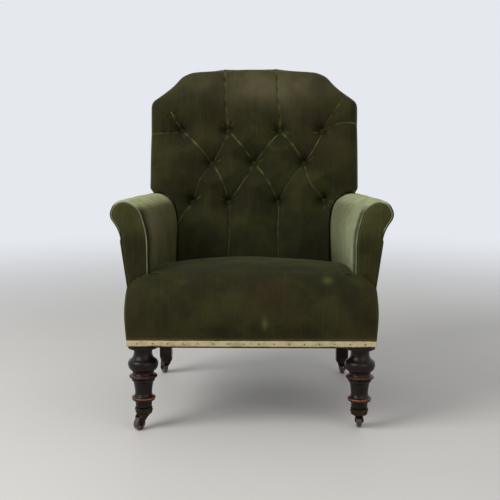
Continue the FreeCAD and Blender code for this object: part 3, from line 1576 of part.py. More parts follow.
def check_and_write():
    """Refuses a failed feature or an invalid piece, then writes one file for each sub-part."""
    failed = [item.Label for item in doc.Objects if "Invalid" in item.State or "Error" in item.State]
    if failed:
        raise RuntimeError(f"failed features: {failed}")
    os.makedirs("parts", exist_ok=True)
    for name, item in nodes.items():
        shape = item.Shape
        if shape.isNull() or not shape.isValid() or not shape.Solids:
            raise RuntimeError(f"{name} has no valid solid")
        shape.exportStep(f"parts/{name}.step")
        box_of = shape.optimalBoundingBox()
        print(
            f"{name}: {len(shape.Solids)} solids, {shape.Volume / 1000:.1f} cm3, "
            f"x {box_of.XMin:.1f} {box_of.XMax:.1f}, y {box_of.YMin:.1f} {box_of.YMax:.1f}, "
            f"z {box_of.ZMin:.1f} {box_of.ZMax:.1f}"
        )


doc.recompute()
check_and_write()
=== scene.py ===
import json
import math

import bmesh
import bpy
import numpy as np
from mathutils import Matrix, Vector


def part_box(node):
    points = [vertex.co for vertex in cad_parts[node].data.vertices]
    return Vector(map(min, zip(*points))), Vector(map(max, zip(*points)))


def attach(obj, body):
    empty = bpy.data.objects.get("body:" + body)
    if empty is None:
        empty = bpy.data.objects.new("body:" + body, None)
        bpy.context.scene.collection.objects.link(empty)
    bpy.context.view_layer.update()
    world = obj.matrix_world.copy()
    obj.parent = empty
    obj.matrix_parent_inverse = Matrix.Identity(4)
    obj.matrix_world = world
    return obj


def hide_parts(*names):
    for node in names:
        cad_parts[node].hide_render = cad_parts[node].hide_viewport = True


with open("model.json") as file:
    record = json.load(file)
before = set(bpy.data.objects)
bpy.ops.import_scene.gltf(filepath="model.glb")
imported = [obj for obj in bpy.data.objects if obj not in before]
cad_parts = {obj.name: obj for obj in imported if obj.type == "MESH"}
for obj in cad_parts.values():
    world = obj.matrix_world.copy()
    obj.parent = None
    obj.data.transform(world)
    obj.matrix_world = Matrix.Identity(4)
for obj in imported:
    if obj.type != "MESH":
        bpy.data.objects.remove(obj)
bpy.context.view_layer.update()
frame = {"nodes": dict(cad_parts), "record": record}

# Shapes are worked out in millimetres in the chair's own frame: the chair faces -Y and stands on
# Z = 0. make_piece turns them into metres. "left" is the sitter's left, on +X.
MM = 0.001
SIDES = (("left", 1), ("right", -1))


def corners(node):
    """Lowest and highest corner of a node, in millimetres."""
    low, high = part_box(node)
    return np.array(low) / MM, np.array(high) / MM


# Places read from the frame.
seat_low, seat_high = corners("seat_cover")
rail_low, rail_high = corners("front_seat_rail")
facing_low, facing_high = corners("left_arm_facing")
arm_low, _ = corners("left_inside_arm_cover")
tape_low, tape_high = corners("base_tape")

FRONT_Y = rail_low[1]
RAIL_TOP = rail_high[2]
SKIRT_FOOT = seat_low[2]
SEAT_HALF = seat_high[0] + 1.2
WING_REAR = facing_low[1] - 0.3
ARM_FRONT = arm_low[1]
FACING_FRONT = facing_low[1]
FACING_REAR = facing_high[1]
ARM_FOOT = arm_low[2]

# Sizes of the frame and of its covers, in millimetres.
POST_FRONT = FRONT_Y + 502.5
POST_REAR = POST_FRONT + 40.0
HALF_FRONT = 306.0
HALF_BACK = 290.0
BLOCK_REAR = FRONT_Y + 60.0
RAKE = math.radians(14.0)
BACK_FRAME = 38.0
ARM_HEIGHT = 588.0
ARM_FALL = 22.0
ARM_OUTSIDE = 358.0
ARM_SLIM = 7.0
ARM_INSIDE_FRONT = 257.0
ARM_INSIDE_BACK = 222.0
NECK_DROP = 80.0
NECK_SET_IN = 24.0
FACING_MARGIN = 8.2
# Heights of the seat's middle: the rolled front, the highest place, the fall behind it, the rear.
SEAT_ROLL = 406.0
SEAT_CREST = 421.0
SEAT_SLOPE = 398.0
SEAT_REAR = 366.0
SEAT_BULGE = 24.0
SEAT_LIP = 6.0
BACK_HALF = 312.5
BACK_LENGTH = 636.0
BACK_PADDING = 100.0
BACK_FOOT_Z = 366.3
BUTTON_PROUD = 45.0
BUTTON_RADIUS = 9.0
COVER = 2.0


# Number helpers for whole arrays.
def unit(vectors):
    """Vectors along the last axis at length 1."""
    length = np.linalg.norm(vectors, axis=-1, keepdims=True)
    return vectors / np.maximum(length, 1e-9)


def as_points(*parts):
    """Places from their coordinates, which are spread to one shape."""
    return np.stack(np.broadcast_arrays(*parts), axis=-1)


def ease(value):
    """0 below 0, 1 above 1, and a smooth S between."""
    value = np.clip(value, 0.0, 1.0)
    return value * value * (3.0 - 2.0 * value)


def ripple(u, v, seed, length, octaves=3):
    """Smooth uneven height between about -1 and 1: sines in turned directions, each octave shorter
    and weaker than the last. length is the longest wave."""
    weaker = 0.55
    chance = np.random.default_rng(seed)
    height = np.zeros(np.broadcast(u, v).shape)
    total = 0.0
    for octave in range(octaves):
        strength = weaker ** octave
        for turn in chance.uniform(0, math.tau, 4):
            wave = math.tau * 2 ** octave / length * chance.uniform(0.7, 1.3)
            phase = chance.uniform(0, math.tau)
            height = height + strength * np.sin((u * math.cos(turn) + v * math.sin(turn)) * wave + phase)
        total += 2.0 * strength
    return height / total


def inset_polygon(points, inset):
    """An anticlockwise polygon, or a row of them, with every side moved inwards. Points run along
    the first axis."""
    before = unit(points - np.roll(points, 1, axis=0))
    after = unit(np.roll(points, -1, axis=0) - points)
    first = as_points(-before[..., 1], before[..., 0])
    second = as_points(-after[..., 1], after[..., 0])
    share = inset / (1.0 + (first * second).sum(axis=-1))
    return points + (first + second) * share[..., None]


def rounded(points, sharp=(), closed=True, straight=5, bend=8, share=0.45):
    """A control polygon turned into a smooth line. Each corner that isn't sharp becomes a parabola
    that takes the same share of its shorter side both ways; straight and bend are the numbers of
    steps on what is left of a side and on a corner. Points run along the first axis."""
    count = len(points)
    starts = []
    ends = []
    for index in range(count):
        corner = points[index]
        back = points[index - 1] - corner
        ahead = points[(index + 1) % count] - corner
        loose = index in sharp or (not closed and index in (0, count - 1))
        shorter = np.minimum(np.linalg.norm(back, axis=-1), np.linalg.norm(ahead, axis=-1))
        reach = (0.0 if loose else share) * shorter[..., None]
        starts.append(corner + unit(back) * reach)
        ends.append(corner + unit(ahead) * reach)
    rows = []
    for index in range(count):
        if np.allclose(starts[index], ends[index]):
            rows.append(points[index][None])
        else:
            steps = np.linspace(0.0, 1.0, bend + 1).reshape((-1,) + (1,) * points[index].ndim)
            rows.append(
                (1 - steps) ** 2 * starts[index]
                + 2 * steps * (1 - steps) * points[index]
                + steps ** 2 * ends[index]
            )
        if closed or index < count - 1:
            steps = (np.arange(1, straight) / straight).reshape((-1,) + (1,) * points[index].ndim)
            rows.append((1 - steps) * ends[index] + steps * starts[(index + 1) % count])
    return np.concatenate(rows)


def measured(line):
    """Length along a line of points, from 0 at its first point."""
    steps = np.linalg.norm(np.diff(line, axis=0), axis=-1)
    return np.concatenate((np.zeros((1,) + steps.shape[1:]), np.cumsum(steps, axis=0)))


def even(line, count):
    """A line of points shared out again at even steps along its length."""
    run = measured(line)
    places = np.linspace(0.0, run[-1], count)
    return np.stack([np.interp(places, run, line[:, axis]) for axis in range(line.shape[1])], axis=-1)


def distance_to(points, line):
    """Shortest distance from each point to a line of points, worked out in blocks of rows."""
    start = line[:-1]
    side = line[1:] - line[:-1]
    square = np.maximum((side ** 2).sum(axis=-1), 1e-9)
    nearest = []
    for block in np.array_split(points.reshape(-1, 2), 24):
        offset = block[:, None] - start
        share = np.clip((offset * side).sum(axis=-1) / square, 0.0, 1.0)
        gap = offset - share[..., None] * side
        nearest.append(np.sqrt((gap ** 2).sum(axis=-1)).min(axis=-1))
    return np.concatenate(nearest).reshape(points.shape[:-1])


def raked(across, along, proud):
    """Places on the leaning back: across, up its slope from the rail top, and out from its frame."""
    y = POST_FRONT + math.sin(RAKE) * along - math.cos(RAKE) * proud
    z = RAIL_TOP + math.cos(RAKE) * along + math.sin(RAKE) * proud
    return as_points(across, y, z)


# Meshes.
def grid_faces(rows, columns, wrap=False, ring=False):
    """Four-sided faces of a grid of points; wrap joins the last column to the first, and ring the
    last row to the first."""
    index = np.arange(rows * columns).reshape(rows, columns)
    if wrap:
        index = np.concatenate((index, index[:, :1]), axis=1)
    if ring:
        index = np.concatenate((index, index[:1]), axis=0)
    quads = np.stack((index[:-1, :-1], index[:-1, 1:], index[1:, 1:], index[1:, :-1]), axis=-1)
    return quads.reshape(-1, 4)


def make_mesh(name, points, faces, cloth, marks=None):
    """A mesh from points in millimetres. cloth is each point's place on the flat cloth, in
    millimetres, and becomes the UV map in metres. marks are named values at the points."""
    mesh = bpy.data.meshes.new(name)
    mesh.from_pydata((points * MM).tolist(), [], [list(face) for face in faces])
    order = np.empty(len(mesh.loops), dtype=np.int32)
    mesh.loops.foreach_get("vertex_index", order)
    layer = mesh.uv_layers.new(name="cloth")
    layer.data.foreach_set("uv", (cloth * MM)[order].astype(np.float32).ravel())
    for mark, values in (marks or {}).items():
        attribute = mesh.attributes.new(mark, "FLOAT", "POINT")
        attribute.data.foreach_set("value", values.astype(np.float32).ravel())
    mesh.polygons.foreach_set("use_smooth", np.ones(len(mesh.polygons), dtype=bool))
    mesh.update()
    return mesh


def add_object(name, data):
    """A new object in the scene."""
    made = bpy.data.objects.new(name, data)
    bpy.context.collection.objects.link(made)
    return made


def make_piece(name, grid, cloth, heart, marks, wrap=False, caps=(), node=None):
    """An object from a grid of points. heart is a place inside it, one such place for each face, or
    a direction out of a sheet as ("out", vector), by which the faces are turned outwards. caps are
    loops of grid indices that close its ends."""
    rows, columns = grid.shape[:2]
    points = grid.reshape(-1, 3)
    faces = grid_faces(rows, columns, wrap)
    corner = points[faces[:, 0]]
    normals = np.cross(points[faces[:, 1]] - corner, points[faces[:, 3]] - corner)
    if isinstance(heart, tuple) and heart[0] == "out":
        agree = (normals * np.array(heart[1])).sum()
    else:
        agree = (normals * (points[faces].mean(axis=1) - np.array(heart))).sum()
    loops = faces.tolist() + list(caps)
    if agree < 0:
        loops = [loop[::-1] for loop in loops]
    flat_marks = {mark: np.broadcast_to(values, (rows, columns)).ravel() for mark, values in marks.items()}
    piece = add_object(name, make_mesh(name, points, loops, cloth.reshape(-1, 2), flat_marks))
    if node:
        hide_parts(node)
    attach(piece, "chair")
    return piece


def join_points(mesh, turn=False):
    """Merges points that fall together and, where asked, turns a closed mesh's faces outwards."""
    work = bmesh.new()
    work.from_mesh(mesh)
    bmesh.ops.remove_doubles(work, verts=work.verts, dist=0.00002)
    if turn:
        bmesh.ops.recalc_face_normals(work, faces=work.faces)
    work.to_mesh(mesh)
    work.free()


def give_thickness(piece, thickness):
    """Cloth thickness laid inwards from the outer face."""
    solid = piece.modifiers.new("cloth thickness", "SOLIDIFY")
    solid.thickness = thickness * MM
    solid.offset = -1.0
    solid.use_even_offset = False


# Materials.
class Value:
    """A number or colour on its way through a material's nodes, written like ordinary sums."""

    def __init__(self, paint, socket):
        self.paint = paint
        self.socket = socket

    def sum(self, operation, first, second=0.0):
        return self.paint.node("Math", {"operation": operation}, {0: first, 1: second})

    def __add__(self, other):
        return self.sum("ADD", self, other)

    def __sub__(self, other):
        return self.sum("SUBTRACT", self, other)

    def __rsub__(self, other):
        return self.sum("SUBTRACT", other, self)

    def __mul__(self, other):
        return self.sum("MULTIPLY", self, other)

    def __truediv__(self, other):
        return self.sum("DIVIDE", self, other)

    def __abs__(self):
        return self.sum("ABSOLUTE", self)

    def wave(self):
        return self.sum("SINE", self)

    def most(self, other):
        return self.sum("MAXIMUM", self, other)

    def least(self, other):
        return self.sum("MINIMUM", self, other)

    def between(self, low, high):
        """0 at low, 1 at high, smooth in between and held outside."""
        settings = {"interpolation_type": "SMOOTHSTEP"}
        return self.paint.node("MapRange", settings, {"Value": self, "From Min": low, "From Max": high})


class Paint:
    """The node tree of a new material, or of the world when that is given."""

    def __init__(self, name, world=None):
        self.owner = world or bpy.data.materials.new(name)
        self.owner.use_nodes = True
        self.tree = self.owner.node_tree
        self.tree.nodes.clear()

    def node(self, kind, settings=None, inputs=None, output=0):
        """One node: its settings first, then its sockets' values or links. Returns one output."""
        made = self.tree.nodes.new("ShaderNode" + kind)
        for key, value in (settings or {}).items():
            setattr(made, key, value)
        for key, value in (inputs or {}).items():
            if isinstance(value, Value):
                self.tree.links.new(value.socket, made.inputs[key])
            else:
                made.inputs[key].default_value = value
        return Value(self, made.outputs[output])

    def place(self):
        """Position on the object, in metres."""
        return self.node("TexCoord", output="Object")

    def cloth(self):
        """Position on the flat cloth, in metres."""
        return self.node("UVMap", {"uv_map": "cloth"})

    def mark(self, name):
        """A value kept at the piece's points."""
        return self.node("Attribute", {"attribute_name": name}, output="Fac")

    def axis(self, vector, name):
        return self.node("SeparateXYZ", inputs={"Vector": vector}, output=name)

    def scaled(self, vector, x, y, z, turn=0.0):
        """A position with each axis multiplied, and turned about Z."""
        return self.node("Mapping", inputs={"Vector": vector, "Scale": (x, y, z), "Rotation": (0, 0, turn)})

    def noise(self, vector, scale=1.0, detail=3.0, rough=0.5):
        inputs = {"Vector": vector, "Scale": scale, "Detail": detail, "Roughness": rough}
        return self.node("TexNoise", inputs=inputs, output="Fac")

    def mix(self, share, first, second):
        """Two colours mixed; share is the second's part."""
        return self.node("Mix", {"data_type": "RGBA"}, {0: share, 6: first, 7: second}, output=2)

    def bump(self, height, depth, strength):
        """Surface relief; depth in metres is what a height of 1 stands for."""
        return self.node("Bump", inputs={"Height": height, "Distance": depth, "Strength": strength})

    def finish(self, colour, rough, normal, constants=None):
        """The surface shader. constants are sockets that stay the same all over."""
        inputs = {"Base Color": colour, "Roughness": rough, **(constants or {}), "Normal": normal}
        self.to_output(self.node("BsdfPrincipled", inputs=inputs))
        return self.owner

    def seen(self):
        """1 for what the lens sees, also in or through a surface, and 0 for all other light."""
        rays = ("Is Camera Ray", "Is Glossy Ray", "Is Transmission Ray")
        direct, mirrored, through = [self.node("LightPath", output=ray) for ray in rays]
        return direct.most(mirrored).most(through)

    def to_output(self, shader, kind="OutputMaterial"):
        target = self.tree.nodes.new("ShaderNode" + kind)
        self.tree.links.new(shader.socket, target.inputs["Surface"])


def tone(red, green, blue):
    """A screen colour from 0 to 255 as the linear colour that the shaders use."""
    linear = []
    for part in (red, green, blue):
        share = part / 255.0
        linear.append(share / 12.92 if share <= 0.04045 else ((share + 0.055) / 1.055) ** 2.4)
    return (*linear, 1.0)


OLIVE_DEEP = tone(36, 34, 17)
OLIVE_BODY = tone(50, 49, 24)
OLIVE_BLOOM = tone(76, 78, 42)
# Pale tones of worn and dusty cloth, which also serve as painted highlights.
OLIVE_WORN_AND_LIT = tone(126, 126, 70)
SAGE_WORN_AND_LIT = tone(174, 181, 140)
RUSSET = tone(54, 42, 24)
DUST_AND_SHEEN_OLIVE = tone(104, 96, 70)
GREEN_SHEEN = tone(190, 194, 132)
GOLDEN_SHEEN = tone(196, 190, 116)


def velvet(name, worn, streak, sheen, sheen_tint):
    """Cut pile: mottled body colour with russet patches, streaks where the pile was stroked along
    the cloth, and short pile in the relief. The piece's marks paint the rest: threadbare places and
    painted sheen highlights in the worn colour, dust and painted highlights in a grey-olive, and
    painted shade in folds, dimples, recesses and on faces turned away from the lamp."""
    paint = Paint(name)
    cloth = paint.cloth()
    place = paint.place()
    mottle = paint.noise(place, 11.0, 5.0, 0.6)
    patch = paint.noise(place, 4.2, 3.0, 0.55)
    stroke = paint.noise(paint.scaled(cloth, 150.0, 7.0, 1.0), 1.0, 4.0, 0.6)
    fine_stroke = paint.noise(paint.scaled(cloth, 620.0, 28.0, 1.0), 1.0, 3.0, 0.6)
    pile = paint.noise(place, 1500.0, 2.0, 0.7)
    colour = paint.mix(mottle.between(0.38, 0.66), OLIVE_DEEP, OLIVE_BODY)
    colour = paint.mix(patch.between(0.48, 0.7) * 0.55, colour, RUSSET)
    lit = (stroke.between(0.5, 0.85) * 0.45 + fine_stroke.between(0.5, 0.8) * 0.25) * streak
    colour = paint.mix(lit, colour, OLIVE_BLOOM)
    specks = paint.noise(place, 240.0, 2.0, 0.5).between(0.66, 0.78)
    colour = paint.mix(specks * 0.2, colour, OLIVE_BLOOM)
    # Dust, with painted highlights on the back's upper roll and on the left arm's inner face.
    dust_and_sheen = paint.mark("dust_and_sheen") * (mottle.between(0.2, 0.7) * 0.5 + 0.5)
    colour = paint.mix(dust_and_sheen.least(1.0), colour, DUST_AND_SHEEN_OLIVE)
    # Threadbare places, and painted sheen highlights on fold lips, edges and the lamp-facing arm.
    wear_and_sheen = paint.mark("wear_and_sheen")
    uneven = paint.noise(place, 34.0, 4.0, 0.65).between(0.25, 0.7) * 0.4 + 0.6
    colour = paint.mix((wear_and_sheen * uneven).least(1.0), colour, worn)
    # Painted shade in folds, dimples, recesses and on faces turned away from the lamp.
    shade = paint.mark("shade")
    colour = paint.mix((shade * 0.85).least(1.0), colour, tone(18, 17, 9))
    relief = pile * 0.5 + fine_stroke * 0.3 + stroke * 0.6 + mottle * 0.8
    normal = paint.bump(relief, depth=0.0011, strength=0.75)
    rough = mottle * 0.12 + 0.84
    pile_shine = {
        "Sheen Weight": sheen,
        "Sheen Roughness": 0.3,
        "Sheen Tint": sheen_tint,
        "Specular IOR Level": 0.1,
    }
    return paint.finish(colour, rough, normal, pile_shine)


def woven(name, thread, gap_tone, pitch, fleck, fleck_share=0.5):
    """Plain weave: two sets of threads that cross at pitch metres, with slubs and flecks."""
    paint = Paint(name)
    place = paint.place()
    turns = math.tau / pitch
    drift = paint.noise(place, 60.0, 2.0) * 0.6
    across = (paint.axis(place, "X") * turns + paint.axis(place, "Z") * turns * 0.35 + drift).wave()
    along = (paint.axis(place, "Y") * turns + paint.axis(place, "Z") * turns * 0.65 + drift).wave()
    weave = (across * along) * 0.5 + 0.5
    slub = paint.noise(place, 180.0, 3.0, 0.6)
    colour = paint.mix(weave.between(0.1, 0.7), gap_tone, thread)
    colour = paint.mix(slub.between(0.52, 0.75) * fleck_share, colour, fleck)
    normal = paint.bump(weave + slub * 0.5, depth=pitch * 0.35, strength=0.7)
    return paint.finish(colour, slub * 0.15 + 0.82, normal, {"Sheen Weight": 0.1})


def hair_stuffing(name):
    """Curled horsehair and fibre: tangled strands in two directions, dark brown to ginger."""
    paint = Paint(name)
    place = paint.place()
    strands = paint.noise(paint.scaled(place, 90.0, 420.0, 180.0), 1.0, 6.0, 0.75)
    crossing = paint.noise(paint.scaled(place, 380.0, 80.0, 260.0, 0.6), 1.0, 6.0, 0.75)
    tangle = strands * 0.5 + crossing * 0.5
    colour = paint.mix(tangle.between(0.35, 0.65), tone(38, 26, 18), tone(120, 92, 62))
    return paint.finish(colour, tangle * 0.2 + 0.75, paint.bump(tangle, depth=0.004, strength=0.9))


def plain_wood(name):
    """Unpolished beech: long grain, short flecks and a few dirty patches."""
    paint = Paint(name)
    place = paint.place()
    grain = paint.noise(paint.scaled(place, 14.0, 90.0, 90.0), 1.0, 5.0, 0.6)
    fleck = paint.noise(paint.scaled(place, 130.0, 900.0, 900.0), 1.0, 2.0).between(0.6, 0.72)
    dirt = paint.noise(place, 9.0, 4.0).between(0.45, 0.75)
    colour = paint.mix(grain.between(0.3, 0.7), tone(186, 150, 108), tone(150, 112, 72))
    colour = paint.mix(fleck * 0.5, colour, tone(112, 76, 44))
    colour = paint.mix(dirt * 0.4, colour, tone(92, 70, 50))
    normal = paint.bump(grain + fleck, depth=0.0004, strength=0.6)
    return paint.finish(colour, grain * 0.2 + 0.6, normal)


def ebonised_wood(name):
    """Black stained and polished wood. The polish has rubbed through to red-brown wood on two rings
    of the turned front legs and in scuffs. worn_rings gives each ring's height and half width in
    metres and how far it is worn."""
    worn_rings = ((0.0828, 0.0024, 1.3), (0.1415, 0.0016, 0.7))
    paint = Paint(name)
    place = paint.place()
    height = paint.axis(place, "Z")
    turned = (paint.axis(place, "Y") * -1.0).between(0.0, 0.05)
    scuff = paint.noise(place, 55.0, 6.0, 0.7)
    grain = paint.noise(paint.scaled(place, 260.0, 260.0, 18.0), 1.0, 4.0, 0.6)
    worn = scuff.between(0.66, 0.8) * 0.3
    for level, half, strength in worn_rings:
        band = 1.0 - abs(height - level) / half
        worn = worn.most(band.most(0.0) * turned * strength * scuff.between(0.3, 0.6))
    colour = paint.mix(grain.between(0.4, 0.7), tone(14, 11, 10), tone(27, 21, 19))
    colour = paint.mix(worn.least(1.0), colour, tone(138, 74, 42))
    dust = paint.noise(place, 22.0, 3.0).between(0.55, 0.8)
    colour = paint.mix(dust * 0.08, colour, tone(112, 104, 96))
    rough = grain * 0.12 + scuff * 0.18 + 0.2
    polish = {
        "Coat Weight": 0.06,
        "Coat Roughness": 0.2,
        "Specular IOR Level": 0.2,
        "Specular Tint": tone(240, 222, 208),
    }
    normal = paint.bump(grain + scuff * 0.6, depth=0.0003, strength=0.5)
    return paint.finish(colour, rough, normal, polish)


def old_metal(name, bright, tarnish, rust):
    """Metal gone dull, with brighter rubbed spots and a little rust or verdigris."""
    paint = Paint(name)
    place = paint.place()
    cloud = paint.noise(place, 90.0, 6.0, 0.65)
    spots = paint.noise(place, 320.0, 4.0, 0.6)
    colour = paint.mix(cloud.between(0.35, 0.7), tarnish, bright)
    colour = paint.mix(spots.between(0.6, 0.75) * 0.5, colour, rust)
    rough = spots * 0.25 + cloud * 0.15 + 0.28
    normal = paint.bump(cloud + spots * 0.4, depth=0.0003, strength=0.5)
    return paint.finish(colour, rough, normal, {"Metallic": 0.9})


def glazed_wheel(name):
    """Brown-purple glazed wheel with rolled-in dirt and fine crazing."""
    paint = Paint(name)
    place = paint.place()
    cloud = paint.noise(place, 70.0, 4.0, 0.6)
    dirt = paint.noise(place, 260.0, 4.0, 0.6).between(0.55, 0.75)
    colour = paint.mix(cloud.between(0.35, 0.7), tone(44, 27, 26), tone(68, 47, 40))
    colour = paint.mix(dirt * 0.5, colour, tone(70, 62, 54))
    rough = dirt * 0.35 + cloud * 0.1 + 0.14
    glaze = {"Coat Weight": 0.5, "Coat Roughness": 0.12}
    normal = paint.bump(cloud + dirt * 0.5, depth=0.0003, strength=0.4)
    return paint.finish(colour, rough, normal, glaze)


def linen_tape(name):
    """Cream linen tape: fine slanted ribs across it, brown tack stains and dirt, and darker towards
    its lower edge.
    """
    paint = Paint(name)
    cloth = paint.cloth()
    place = paint.place()
    run = paint.axis(cloth, "X")
    rise = paint.axis(cloth, "Y")
    ribs = ((run + abs(rise - 0.008) * 0.8) * (math.tau / 0.0024)).wave() * 0.5 + 0.5
    cross = (rise * (math.tau / 0.0016)).wave() * 0.5 + 0.5
    dirt = paint.noise(place, 38.0, 5.0, 0.65)
    stains = paint.noise(paint.scaled(cloth, 60.0, 120.0, 1.0), 1.0, 4.0, 0.6)
    colour = paint.mix(ribs * 0.5 + cross * 0.2, tone(176, 159, 119), tone(218, 202, 163))
    colour = paint.mix(dirt.between(0.42, 0.72) * 0.75, colour, tone(146, 122, 82))
    colour = paint.mix(stains.between(0.62, 0.74) * 0.7, colour, tone(96, 66, 34))
    # Darker towards the lower edge.
    colour = paint.mix((rise * -1.0).between(-0.004, 0.0) * 0.4, colour, tone(110, 88, 54))
    normal = paint.bump(ribs + cross * 0.5, depth=0.0004, strength=0.7)
    return paint.finish(colour, dirt * 0.1 + 0.84, normal)


FINISHES = {
    "velvet": velvet("olive velvet", OLIVE_WORN_AND_LIT, streak=0.5, sheen=0.22, sheen_tint=GREEN_SHEEN),
    "frame_wood": plain_wood("beech frame"),
    "ebonised_wood": ebonised_wood("ebonised wood"),
    "castor_metal": old_metal("castor brass", tone(66, 52, 34), tone(27, 22, 18), tone(44, 38, 30)),
    "castor_wheel": glazed_wheel("castor glaze"),
    "screw_metal": old_metal("iron screws", tone(120, 112, 102), tone(58, 50, 44), tone(96, 56, 34)),
    "spring_steel": old_metal("spring steel", tone(132, 126, 118), tone(74, 68, 62), tone(110, 62, 36)),
    "webbing": woven("jute webbing", tone(168, 132, 84), tone(86, 62, 38), 0.0034, tone(196, 168, 120)),
    "hessian": woven("hessian", tone(172, 140, 92), tone(70, 52, 34), 0.0024, tone(120, 92, 58)),
    "stuffing": hair_stuffing("hair stuffing"),
    "dust_cloth": woven(
        "black dust cloth", tone(34, 33, 33), tone(12, 12, 12), 0.0014, tone(72, 68, 62), 0.3
    ),
    "tape": linen_tape("linen tape"),
    "twine": woven("waxed twine", tone(150, 130, 92), tone(84, 66, 42), 0.0011, tone(190, 170, 130)),
}
arm_velvet = velvet(
    "olive velvet of the arms", SAGE_WORN_AND_LIT, streak=0.4, sheen=0.34, sheen_tint=GOLDEN_SHEEN
)

slots = {row["node"]: row["material_slot"] for row in frame["record"]["subparts"]}
for node_name, node_object in frame["nodes"].items():
    node_object.data.materials.clear()
    node_object.data.materials.append(FINISHES[slots[node_name]])


def dress(piece, material):
    """Gives a piece its finish."""
    piece.data.materials.append(material)


# The seat.
def seat_profile(x):
    """The seat's section (back, up) at places across it, from the foot at the front, up over the
    rolled front edge and along the crowned top to where it tucks under the back."""
    share = np.abs(x) / SEAT_HALF
    edge_drop = 30.0 * np.maximum(share - 0.85, 0.0) ** 2 / 0.0225
    draw_in = 5.0 * share ** 2 + 7.0 * np.maximum(share - 0.9, 0.0) / 0.1
    roll = SEAT_ROLL - 6.0 * share ** 2 - edge_drop
    crest = SEAT_CREST - 29.0 * share ** 2 - edge_drop
    slope = SEAT_SLOPE - 37.0 * share ** 2 - edge_drop
    tail = np.minimum(SEAT_REAR, slope - 6)
    bulge = SEAT_BULGE - draw_in
    front = FRONT_Y - bulge
    foot = np.full_like(x, SKIRT_FOOT)
    line = [
        (FRONT_Y - SEAT_LIP, foot),
        (FRONT_Y - SEAT_LIP, foot + 28),
        (front + 2, foot + 62),
        (front - 1, np.maximum(roll - 88, SKIRT_FOOT + 76)),
        (front + 2, np.maximum(roll - 48, SKIRT_FOOT + 104)),
        (front + 17, np.maximum(roll - 18, SKIRT_FOOT + 126)),
        (front + 44, roll - 1),
        (front + 95, roll + 8),
        (-210, (roll + crest) / 2 + 6),
        (-140, crest + 1),
        (0, slope),
        (76, tail),
        (POST_FRONT + 20, tail),
    ]
    points = np.stack([as_points(*pair) for pair in line])
    return rounded(points, closed=False, straight=9, bend=12)


def seat_side(edge, sign, radius):
    """Columns that round one side edge of the seat and then turn in: to the arm's front face where
    the seat lies before the arm, and down elsewhere."""
    wing_foot = RAIL_TOP + 28
    tuck_down = 30
    target = edge.copy()
    wing = edge[:, 1] < WING_REAR - 3.5
    low = edge[:, 2] < wing_foot
    target[:, 1] = np.where(wing, WING_REAR - 0.3, edge[:, 1])
    target[:, 2] = np.where(wing, np.where(low, edge[:, 2], wing_foot), edge[:, 2] - tuck_down)
    inward = unit(target[:, 1:] - edge[:, 1:])
    columns = []
    for turn in np.radians((18.0, 36.0, 54.0, 72.0, 90.0)):
        place = edge.copy()
        place[:, 0] += sign * radius * math.sin(turn)
        place[:, 1:] += inward * radius * (1 - math.cos(turn))
        columns.append(place)
    rounded_edge = columns[-1]
    for part in (0.25, 0.5, 0.75, 1.0):
        place = rounded_edge + (target - edge) * part * 0.84
        place[:, 0] = rounded_edge[:, 0]
        columns.append(place)
    return columns


def seat_marks(grid, on_top):
    """Marks on the seat: a painted sheen highlight on the rolled front edge, a worn smear and a rubbed
    spot on the front, paler lines over the tape and down the sides; painted shade makes the top
    darker than the front and darkens the rear under the back."""
    depth = grid[..., 1]
    up = grid[..., 2]
    # Painted sheen highlight along the rolled front edge.
    rim = np.exp(-((depth - (FRONT_Y + 26)) / 16) ** 2) * ease((up - 330) / 60)
    smear_x, smear_z = 34.0, 284.0
    smear = np.exp(-((grid[..., 0] - smear_x) / 7) ** 2 - ((up - smear_z) / 15) ** 2)
    smear = smear * (depth < FRONT_Y + 30)
    rub_x, rub_z = 190.0, 392.0
    rub = np.exp(-((grid[..., 0] - rub_x) / 13) ** 2 - ((up - rub_z) / 8) ** 2)
    rub = rub * (depth < FRONT_Y + 60)
    # Paler lines just above the tape and down the sides.
    foot_line = np.exp(-((up - tape_high[2] - 2.5) / 2.5) ** 2)
    side_line = np.exp(-((SEAT_HALF + 1 - np.abs(grid[..., 0])) / 3.5) ** 2) * (up < 385)
    # Painted shade on the top and at the rear under the back.
    return {
        "wear_and_sheen": rim * 0.05 + smear * 0.34 + rub * 0.32 + foot_line * 0.2 + side_line * 0.14,
        "shade": on_top * 0.5 + ease((depth - 10) / 90) * 0.3,
    }


